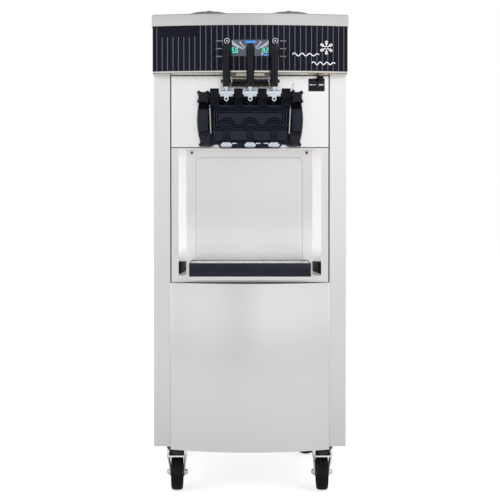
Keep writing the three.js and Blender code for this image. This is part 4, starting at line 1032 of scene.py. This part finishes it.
def stop_bracket():
    """A folded plate under the header: a face, two cheeks that hold the bar, and a plate behind."""
    low, high = span("stop_bar_bracket")
    bar = middle("handle_stop_bar")
    sheet, front, face_low, cheek_low = 2, -76, 1162.6, 1144
    behind = front + sheet
    # Painted shade: the bracket's face takes a darker, warmer copy of the steel.
    face = box(low.x, high.x, front, behind, face_low, high.z)
    piece("bracket_face", face, "bracket_steel_painted_shade", "cabinet_steel", "stop_bar_bracket", bevel=0.6, segments=2)
    lip = box(low.x + 3, high.x - 3, -75, -73, 1156.4, 1158.2)
    piece("bracket_lip", lip, "slit_steel", "cabinet_steel", bevel=0.4)
    # Painted shadow: a dark strip fills the gap between the lip and the face.
    shadow_fill = box(low.x + 3, high.x - 3, -73.5, -72, 1157, face_low + 1)
    piece("bracket_shadow_fill", shadow_fill, "bracket_painted_shadow", "cabinet_steel")
    top = box(low.x, high.x, behind, high.y, high.z - sheet, high.z)
    back = box(low.x, high.x, high.y - sheet, high.y, low.z + 10, high.z - sheet)
    piece("bracket_back", back, "slit_steel", "cabinet_steel", join=[top], bevel=0.4)
    # Painted shadow: the hem takes the near-black copy.
    hem = box(low.x, high.x, high.y - sheet - 1, high.y, low.z, low.z + 10)
    piece("bracket_hem", hem, "bracket_painted_shadow", "cabinet_steel", bevel=0.8)
    for side, sign in SIDES:
        x0, x1 = sorted((sign * high.x, sign * (high.x - 3)))
        outline = [(behind, high.z - sheet), (behind, face_low), (low.y + 3, face_low - 6),
                   (low.y, cheek_low + 4), (low.y + 3, cheek_low), (-62, cheek_low), (-60, high.z - sheet)]
        hole = cylinder(4.7, "x", x0 - 1, x1 + 1, (bar.y, bar.z), 32)
        piece(f"bracket_cheek_{side}", prism(outline, "x", x0, x1), "polished_steel", "cabinet_steel",
              cut=[hole], bevel=0.4, segments=2)


def selector():
    """A lever in a rubber boot under a brass nut, and a small printed plate."""
    centre = middle("selector_socket")
    nut = prism(arc((centre.x, centre.y), 9.5, 0, 300, 5), "z", 1168.2, 1171.7)
    cone = lathe([(6, 1158.5), (7.4, 1158.5), (8.6, 1163), (8.8, 1168.4), (6, 1168.4), (6, 1158.5)], "z",
                 (centre.x, centre.y), 40)
    piece("selector_nut", nut, "brass", "socket_brass", "selector_socket", bevel=0.5, segments=2)
    piece("selector_boot", cone, "knob_black", "moulded_black")
    pivot = (centre.x, centre.y, 1162)
    profile = [(0, 1139.8), (2.4, 1140.6), (3.4, 1143), (2.6, 1146), (2.1, 1150), (2.1, 1158), (3.8, 1161),
               (3.8, 1163), (2.4, 1165.2), (0, 1166)]
    lever = turned(lathe(profile, "z", (centre.x, centre.y), 28), "y", 26, pivot)
    piece("selector_stick", lever, "knob_black", "moulded_black", "selector_lever", "selector", smooth=60)
    low, high = span("selector_plate")
    plate = box(low.x, high.x, low.y, high.y, low.z, high.z)
    piece("selector_escutcheon", plate, "tray_black", "fascia_black", "selector_plate", bevel=1.2, segments=3)
    marks = [(165.5, 174, 1144, 1147), (176, 182, 1144.6, 1146.4), (183.5, 188.5, 1144.6, 1146.4),
             (191, 203.5, 1143.6, 1147.4)]
    for index, (x0, x1, z0, z1) in enumerate(marks):
        mark = box(x0, x1, low.y - 0.25, low.y + 0.4, z0, z1)
        piece(f"selector_mark_{index}", mark, "print_white", "fascia_black")


# ---- drip tray ----

def drip_tray():
    """A shallow tray with a ledge inside for the grille."""
    low, high = span("drip_tray")
    wall, ledge, ledge_top = 3, 8, 648
    shell = prism(inset_rectangle(low, high, 0, 7), "z", low.z, high.z)
    upper = prism(inset_rectangle(low, high, wall, 4), "z", ledge_top, high.z + 1)
    well = prism(inset_rectangle(low, high, ledge, 4), "z", low.z + wall, ledge_top + 1)
    piece("tray", shell, "tray_black", "fascia_black", "drip_tray", "tray", cut=[upper, well], bevel=0.8,
          segments=2, angle=50)


def drip_grille():
    """A plate with two rows of slanted slots."""
    low, high = span("drip_grille")
    plate = prism(inset_rectangle(low, high, 0, 4), "z", low.z, high.z)
    middle_y, pitch, slant = (low.y + high.y) / 2, 18.5, -28
    slots = []
    for y in (middle_y - 37, middle_y + 37):
        for index in range(17):
            x = (index - 8) * pitch
            outline = rounded_rectangle((x - 3.4, y - 29), (x + 3.4, y + 29), 3.3, 5)
            slots.append(turned(prism(outline, "z", low.z - 1, high.z + 1), "z", slant, (x, y, 0)))
    piece("grille", plate, "polished_steel", "polished_steel", "drip_grille", "grille", cut=[merged(slots)],
          bevel=0.6, segments=2, angle=50, smooth=40)


# ---- lids ----

def hopper_lid(side):
    """A shallow domed lid with a small round knob, open underneath."""
    low, high = span(f"lid_{side}")
    centre = (low + high) / 2
    half_x, half_y = (high.x - low.x) / 2, (high.y - low.y) / 2
    base, edge, crown, curve = low.z, 1347, high.z - 3, 0.00203
    rings = []
    dome = (0.93, 0.89, 0.84, 0.78, 0.71, 0.63, 0.54, 0.45, 0.36, 0.27, 0.18, 0.09)
    levels = [(1.0, 0.0), (1.0, 0.72), (0.996, 0.88), (0.982, 0.97), (0.96, 1.0)]
    levels += [(scale, 1.0) for scale in dome]
    for scale, rise in levels:
        outline = rounded_rectangle((-half_x * scale, -half_y * scale), (half_x * scale, half_y * scale),
                                    30 * scale, 10)
        ring = []
        for u, v in outline:
            height = max(edge + 3 * (1 - scale), crown - curve * (u * u + v * v))
            ring.append((centre.x + u, centre.y + v, base + (height - base) * rise))
        rings.append(ring)
    skirt = 1.5
    seat = prism(inset_rectangle(low, high, skirt, 28), "z", base - 1, 1335.1)
    hollow = prism(inset_rectangle(low, high, 12, 18), "z", base - 1, 1344)
    foot, top = crown - 4, high.z
    profile = [(0, foot), (8, foot), (8, top - 1), (7.4, top - 0.3), (6, top), (0, top)]
    knob = lathe(profile, "z", (centre.x, centre.y), 40)
    piece(f"lid_cover_{side}", loft(rings), "lid_grey", "lid_grey", f"lid_{side}", f"lid_{side}", join=[knob],
          cut=[seat, hollow], smooth=40)


# ---- casters ----

CASTERS = {"front_left": 0, "front_right": 0, "rear_left": 40, "rear_right": 40}
TRAIL, AXLE = 30, 51


def swivel_place(name):
    """The swivel axis: the wheel's middle, moved back along the trail."""
    wheel = middle(f"caster_wheel_{name}")
    angle = math.radians(CASTERS[name])
    return wheel.x + TRAIL * math.sin(angle), wheel.y - TRAIL * math.cos(angle)


def fork_leg(sign):
    """A pressed leg that narrows and leans in towards the axle: (z, outer, thick, front, rear)."""
    levels = [
        (128, 28.4, 7.5, -14, 20), (110, 28.2, 7, -16, 27), (100, 27.0, 6, -10, 34), (85, 25.0, 5, 2, 42),
        (70, 23.2, 4.4, 13, 44), (58, 22.4, 4, 18, 42.5), (45, 21.8, 3.8, 20, 40), (39, 21.4, 3.4, 25, 35),
    ]
    rings = []
    for z, outer, thick, front, rear in levels:
        a, b = sorted((sign * outer, sign * (outer - thick)))
        rings.append([(a, front, z), (b, front, z), (b, rear, z), (a, rear, z)])
    return loft(rings)


def caster_fork(name):
    """A crown with two legs, hexagon nuts and an axle, under a pressed swivel race."""
    x, y = swivel_place(name)
    body = f"caster_{name}"

    def stood(shape):
        """A shape turned and moved to this caster's place."""
        return moved(turned(shape, "z", CASTERS[name]), x, y)

    crown = prism(rounded_rectangle((-25, -28), (25, 46), 7, 6), "z", 104.6, 109)
    metal = [fork_leg(1), fork_leg(-1)]
    for _, sign in SIDES:
        a, b = sorted((sign * 20, sign * 27.5))
        metal.append(prism(arc((TRAIL, AXLE), 8.6, 0, 300, 5), "x", a, b))
    metal.append(cylinder(5, "x", -30.6, 30.6, (TRAIL, AXLE), 24, 0.8))
    piece(f"fork_frame_{name}", stood(crown), "zinc", "caster_zinc", f"caster_fork_{name}", body,
          join=[stood(shape) for shape in metal], bevel=0.7, segments=2, angle=50)
    race = [(0, 107), (23, 107), (24, 108), (24, 109), (20, 111), (19.4, 117), (22, 121), (26.8, 122.5),
            (28, 124), (28, 130.5), (27, 132.5), (24, 134.6), (0, 134.6)]
    piece(f"swivel_race_{name}", moved(lathe(race, "z"), x, y), "wheel_core", "caster_zinc", body=body)


def caster_wheel(name):
    """A rubber tread on a plastic core. Each profile is one half, mirrored about the wheel's middle."""
    x, y = swivel_place(name)
    tread = [(38, 15.6), (44, 16.2), (47.6, 15.2), (49.6, 12.6), (50.7, 8.6), (51, 4)]
    core = [(5.4, 16.4), (11, 16.4), (12.5, 15.6), (13.5, 8), (16, 6), (33, 6), (36, 9), (38.2, 13)]
    for part, half, material in (("tread", tread, "tread_rubber"), ("core", core, "wheel_core")):
        profile = half + [(radius, -along) for radius, along in half[::-1]] + half[:1]
        shape = turned(lathe(profile, "x", (TRAIL, AXLE), 72), "z", CASTERS[name])
        node = f"caster_wheel_{name}" if part == "tread" else None
        piece(f"wheel_{part}_{name}", moved(shape, x, y), material, "wheel_rubber", node, f"wheel_{name}")


# ---- header print and display ----

def on_fascia(x):
    """Depth of the fascia's outer face at x."""
    low, high = span("header_fascia")
    return bow_depth(x, high.x, low.y + HEADER_BOW, low.y)


def printed(name, outline, material, lift=0.25):
    """A thin printed shape that follows the bowed fascia. The outline is (x, z) in millimetres."""
    front = [(x, on_fascia(x) - lift, z) for x, z in outline]
    back = [(x, on_fascia(x) + 0.4, z) for x, z in outline]
    piece(name, loft([front, back]), material, "fascia_black", smooth=20)


def printed_ring(name, centre, radius, width):
    """A thin white ring on the fascia."""
    rings = []
    for r, lift in ((radius, 0.25), (radius - width, 0.25), (radius - width, -0.4), (radius, -0.4)):
        rings.append([(x, on_fascia(x) - lift, z) for x, z in arc(centre, r, 0, 360, 48)[:-1]])
    piece(name, loft(rings, closed=True), "print_white", "fascia_black")


def stroke(points, width):
    """An outline around a line of points, with a given width."""
    left, right = [], []
    for i, (x, z) in enumerate(points):
        before, after = points[max(i - 1, 0)], points[min(i + 1, len(points) - 1)]
        dx, dz = after[0] - before[0], after[1] - before[1]
        length = math.hypot(dx, dz) or 1
        left.append((x - dz / length * width / 2, z + dx / length * width / 2))
        right.append((x + dz / length * width / 2, z - dx / length * width / 2))
    return left + right[::-1]


def snowflake(centre, size):
    x0, z0 = centre
    for arm in range(6):
        angle = math.radians(60 * arm + 30)
        cos, sin = math.cos(angle), math.sin(angle)
        lines = [[(2.5, 0), (size, 0)]]
        for reach in (0.5, 0.75):
            for side in (-1, 1):
                lines.append([(size * reach, 0), (size * (reach + 0.17), side * size * 0.2)])
        for index, line in enumerate(lines):
            points = [(x0 + u * cos - v * sin, z0 + u * sin + v * cos) for u, v in line]
            printed(f"snowflake_{arm}_{index}", stroke(points, 2.2), "print_white", 0.25 + 0.02 * index)


def header_print():
    """A column of ringed keys with labels on each side of the display, a snowflake and two waves."""
    for (side, away), x in zip(SIDES, (-63.1, 67.9)):
        for row, z in enumerate((1258.4, 1237.4, 1216.4)):
            printed_ring(f"key_ring_{side}_{row}", (x, z), 7.6, 1.2)
            printed(f"key_dot_{side}_{row}", arc((x, z), 1.9, 0, 345, 15), "print_white")
            start = x + away * 13
            end, low, high = start + away * 17, z - 1.3, z + 1.3
            label = [(start, low), (end, low), (end, high), (start, high)]
            printed(f"key_label_{side}_{row}", label, "print_grey")
    snowflake((208, 1242), 19)
    for row, (x0, x1, z) in enumerate(((115, 188, 1222), (168, 232, 1199))):
        points = []
        for step in range(61):
            t = step / 60
            points.append((x0 + (x1 - x0) * t, z + 4.2 * math.sin(t * math.pi * 7) * (1 - 0.35 * t)))
        printed(f"wave_{row}", stroke(points, 2.6), "print_white")


SEGMENTS = {"0": "abcdef", "2": "abged", "4": "fgbc", "5": "afgcd"}


def seven_segment(name, digit, x, front):
    """One digit from thin bars."""
    t, low, high = 1.5, 1226.5, 1240.0
    right, mid = x + 5.6, (low + high) / 2
    bars = {
        "a": (x, right, high - t, high), "f": (x, x + t, mid, high), "b": (right - t, right, mid, high),
        "g": (x, right, mid - t / 2, mid + t / 2), "d": (x, right, low, low + t),
        "e": (x, x + t, low, mid), "c": (right - t, right, low, mid),
    }
    for segment in SEGMENTS[digit]:
        x0, x1, z0, z1 = bars[segment]
        bar = box(x0, x1, front - 0.3, front + 0.3, z0, z1)
        piece(f"{name}_{segment}", bar, "screen_green", "display_window")


def display():
    """A lit panel with two curved gauges, dots, bars, a moon and two numbers."""
    low, high = span("display_module")
    front = low.y
    body = box(low.x, high.x, front, high.y, low.z, high.z)
    piece("display_panel", body, "screen_blue", "display_window", "display_module", bevel=0.6, segments=2)

    def lit(name, outline, material, lift=0.3):
        piece(name, prism(outline, "y", front - lift, front + 0.3), material, "display_window")

    for side, sign in SIDES:
        band_top, band_low = [], []
        for step in range(17):
            t = step / 16
            x = 49.5 - 33 * t
            outer = 1261 - 24 * t ** 0.75
            width = 9.5 * (1 - t) ** 0.8 + 1.2
            band_top.append((sign * x, outer))
            band_low.append((sign * x, outer - width))
        lit(f"gauge_band_{side}", band_top + band_low[::-1], "screen_band")
        for index, (x, z) in enumerate(((25, 1250.5), (21, 1246), (16.5, 1242), (27.5, 1255))):
            lit(f"gauge_dot_{side}_{index}", arc((sign * x, z), 1.6, 0, 330, 11), "screen_white", 0.4)
    lit("status_bar", rounded_rectangle((-13, 1253.6), (16, 1258.2), 2), "screen_cyan")
    lit("mode_bar", rounded_rectangle((36, 1218.6), (49, 1222.0), 1.6), "screen_cyan")
    moon = arc((29, 1226), 6.2, -80, 60, 20)
    moon += arc((27.2, 1227.4), 5.4, 52, -72, 20)
    lit("night_mark", moon, "screen_pink")
    for side, start, digits in (("left", -49.3, "50"), ("right", 33.6, "42")):
        for index, digit in enumerate(digits):
            seven_segment(f"digit_{side}_{index}", digit, start + 9.6 * index, front)
        lit(f"digit_point_{side}", arc((start + 7.6, 1227.3), 0.9, 0, 330, 11), "screen_green")


# ---- CAD nodes that stay, with softened edges and their finishes ----

KEPT = {
    "frame_steel": ("base_frame", "freezing_cylinder_left", "freezing_cylinder_right"),
    "side_steel_painted_shade": ("left_side_panel", "right_side_panel"),
    "cabinet_steel": ("rear_panel", "upper_front_panel"),
    "polished_steel": ("freezer_faceplate", "hopper_left", "hopper_right", "beater_left", "beater_right"),
    "motor_paint": ("gear_motor_left", "gear_motor_right", "compressor"),
    "condenser_fins": ("condenser",),
    "control_case": ("control_box",),
    "knob_black": ("fan_blades", "cable_gland"),
}


def keep_cad_nodes():
    for material, names in KEPT.items():
        for name in names:
            obj = nodes[name]
            obj.data.materials.clear()
            obj.data.materials.append(LOOKS[material])
            weld = obj.modifiers.new("weld", "WELD")
            weld.merge_threshold = 1e-6
            soften(obj, 0.35, 2, 40)


# ---- studio ----

# The light's strength by direction is a sum of steps, each clamped at its ends:
# (axis, strength at the start, strength at the end, start, end). "away" is the distance from x = 0.
LIGHT_STEPS = (
    ("away", 0.70, 1.08, 0.0, 0.30),
    ("x", -0.20, 0.20, -0.11, 0.11),
    ("x", 0.0, -0.36, 0.12, 0.28),
    ("z", 0.0, 0.24, 0.0, 0.12),
    ("away", 0.0, -0.34, 0.62, 0.80),
    ("away", 0.0, 1.3, 0.80, 0.84),
    ("away", 0.0, -1.3, 0.88, 0.92),
    ("z", 0.0, -0.5, 0.25, 0.65),
)


def studio():
    """A world that is plain white to the camera and a stepped softbox to the steel."""
    world = bpy.data.worlds.new("studio")
    scene.world = world
    world.use_nodes = True
    tree = world.node_tree
    tree.nodes.clear()
    x, _, z = axes(tree, "Generated")
    inputs = {"x": x, "z": z, "away": math_node(tree, "ABSOLUTE", x)}
    total = None
    for axis, *ends in LIGHT_STEPS:
        term = add_range(tree, inputs[axis], *ends)
        total = math_node(tree, "ADD", total, term) if total else term
    mix = tree.nodes.new("ShaderNodeMixShader")
    path = tree.nodes.new("ShaderNodeLightPath")
    link(tree, path.outputs["Is Camera Ray"], mix.inputs[0])
    for index, strength in enumerate((total, 1.0)):
        light = tree.nodes.new("ShaderNodeBackground")
        light.inputs["Color"].default_value = (1, 1, 1, 1)
        feed(tree, strength, light.inputs["Strength"])
        link(tree, light.outputs[0], mix.inputs[index + 1])
    output = tree.nodes.new("ShaderNodeOutputWorld")
    link(tree, mix.outputs[0], output.inputs[0])


def area_light(name, place, target, size, power):
    data = bpy.data.lights.new(name, "AREA")
    data.shape = "RECTANGLE"
    data.size, data.size_y = size
    data.energy = power
    lamp = bpy.data.objects.new(name, data)
    lamp.location = place
    lamp.rotation_euler = (Vector(target) - Vector(place)).to_track_quat("-Z", "Y").to_euler()
    lamp.visible_glossy = False
    scene.collection.objects.link(lamp)


FLOOR_GLOW = 0.62


def floor():
    half = 12
    verts = [(-half, -half, 0), (half, -half, 0), (half, half, 0), (-half, half, 0)]
    mesh = bpy.data.meshes.new("floor")
    mesh.from_pydata(verts, [], [(0, 1, 2, 3)])
    obj = bpy.data.objects.new("floor", mesh)
    scene.collection.objects.link(obj)
    material, tree, bsdf = shader("floor_paper", (0.86, 0.86, 0.86), roughness=0.9, specular=0.1)
    tone = add_noise(tree, (2, 2, 2), detail=2.0)
    paper = add_mix(tree, add_range(tree, tone, 0, 1), (0.85, 0.85, 0.85), (0.87, 0.87, 0.87))
    link(tree, paper, bsdf.inputs["Base Color"])
    path = tree.nodes.new("ShaderNodeLightPath")
    emit(tree, bsdf, (1, 1, 1), math_node(tree, "MULTIPLY", path.outputs["Is Camera Ray"], FLOOR_GLOW))
    mesh.materials.append(material)


def camera():
    data = bpy.data.cameras.new("camera")
    data.sensor_width = 36
    data.lens = 88.0
    data.shift_x = 0.0246
    data.shift_y = -0.08
    data.clip_end = 100
    obj = bpy.data.objects.new("camera", data)
    obj.location = (-0.034, FRONT - 3.4, 0.854)
    pitch = 0.94
    obj.rotation_euler = (math.radians(90 - pitch), 0, 0)
    scene.collection.objects.link(obj)
    scene.camera = obj


scene.view_settings.view_transform = "Standard"
studio()
floor()
camera()
area_light("key_right", (2.6, FRONT - 2.6, 2.2), (0, FRONT, 0.8), (1.6, 2.6), 26)
area_light("fill_left", (-2.6, FRONT - 2.4, 2.0), (0, FRONT, 0.8), (1.6, 2.6), 26)
area_light("top", (0.2, FRONT - 0.4, 3.4), (0, FRONT + 0.2, 0.6), (2.4, 2.4), 22)

top_cover()
header_fascia()
header_base_pan()
header_print()
display()
recess_liner()
recess_plate_edge()
recess_screws()
painted_tray_reflections()
lower_front_panel()
panel_seals()
head_black_block()
valve_housings()
head_trim()
head_relief()
for knob in KNOBS:
    star_knob(knob)
for column in COLUMN_X:
    draw_handle(column)
    valve_plunger(column)
    nozzle_cap(column)
pivot_rod()
stop_bar()
stop_bracket()
selector()
drip_tray()
drip_grille()
for lid_side, _ in SIDES:
    hopper_lid(lid_side)
for caster in CASTERS:
    caster_fork(caster)
    caster_wheel(caster)
keep_cad_nodes()
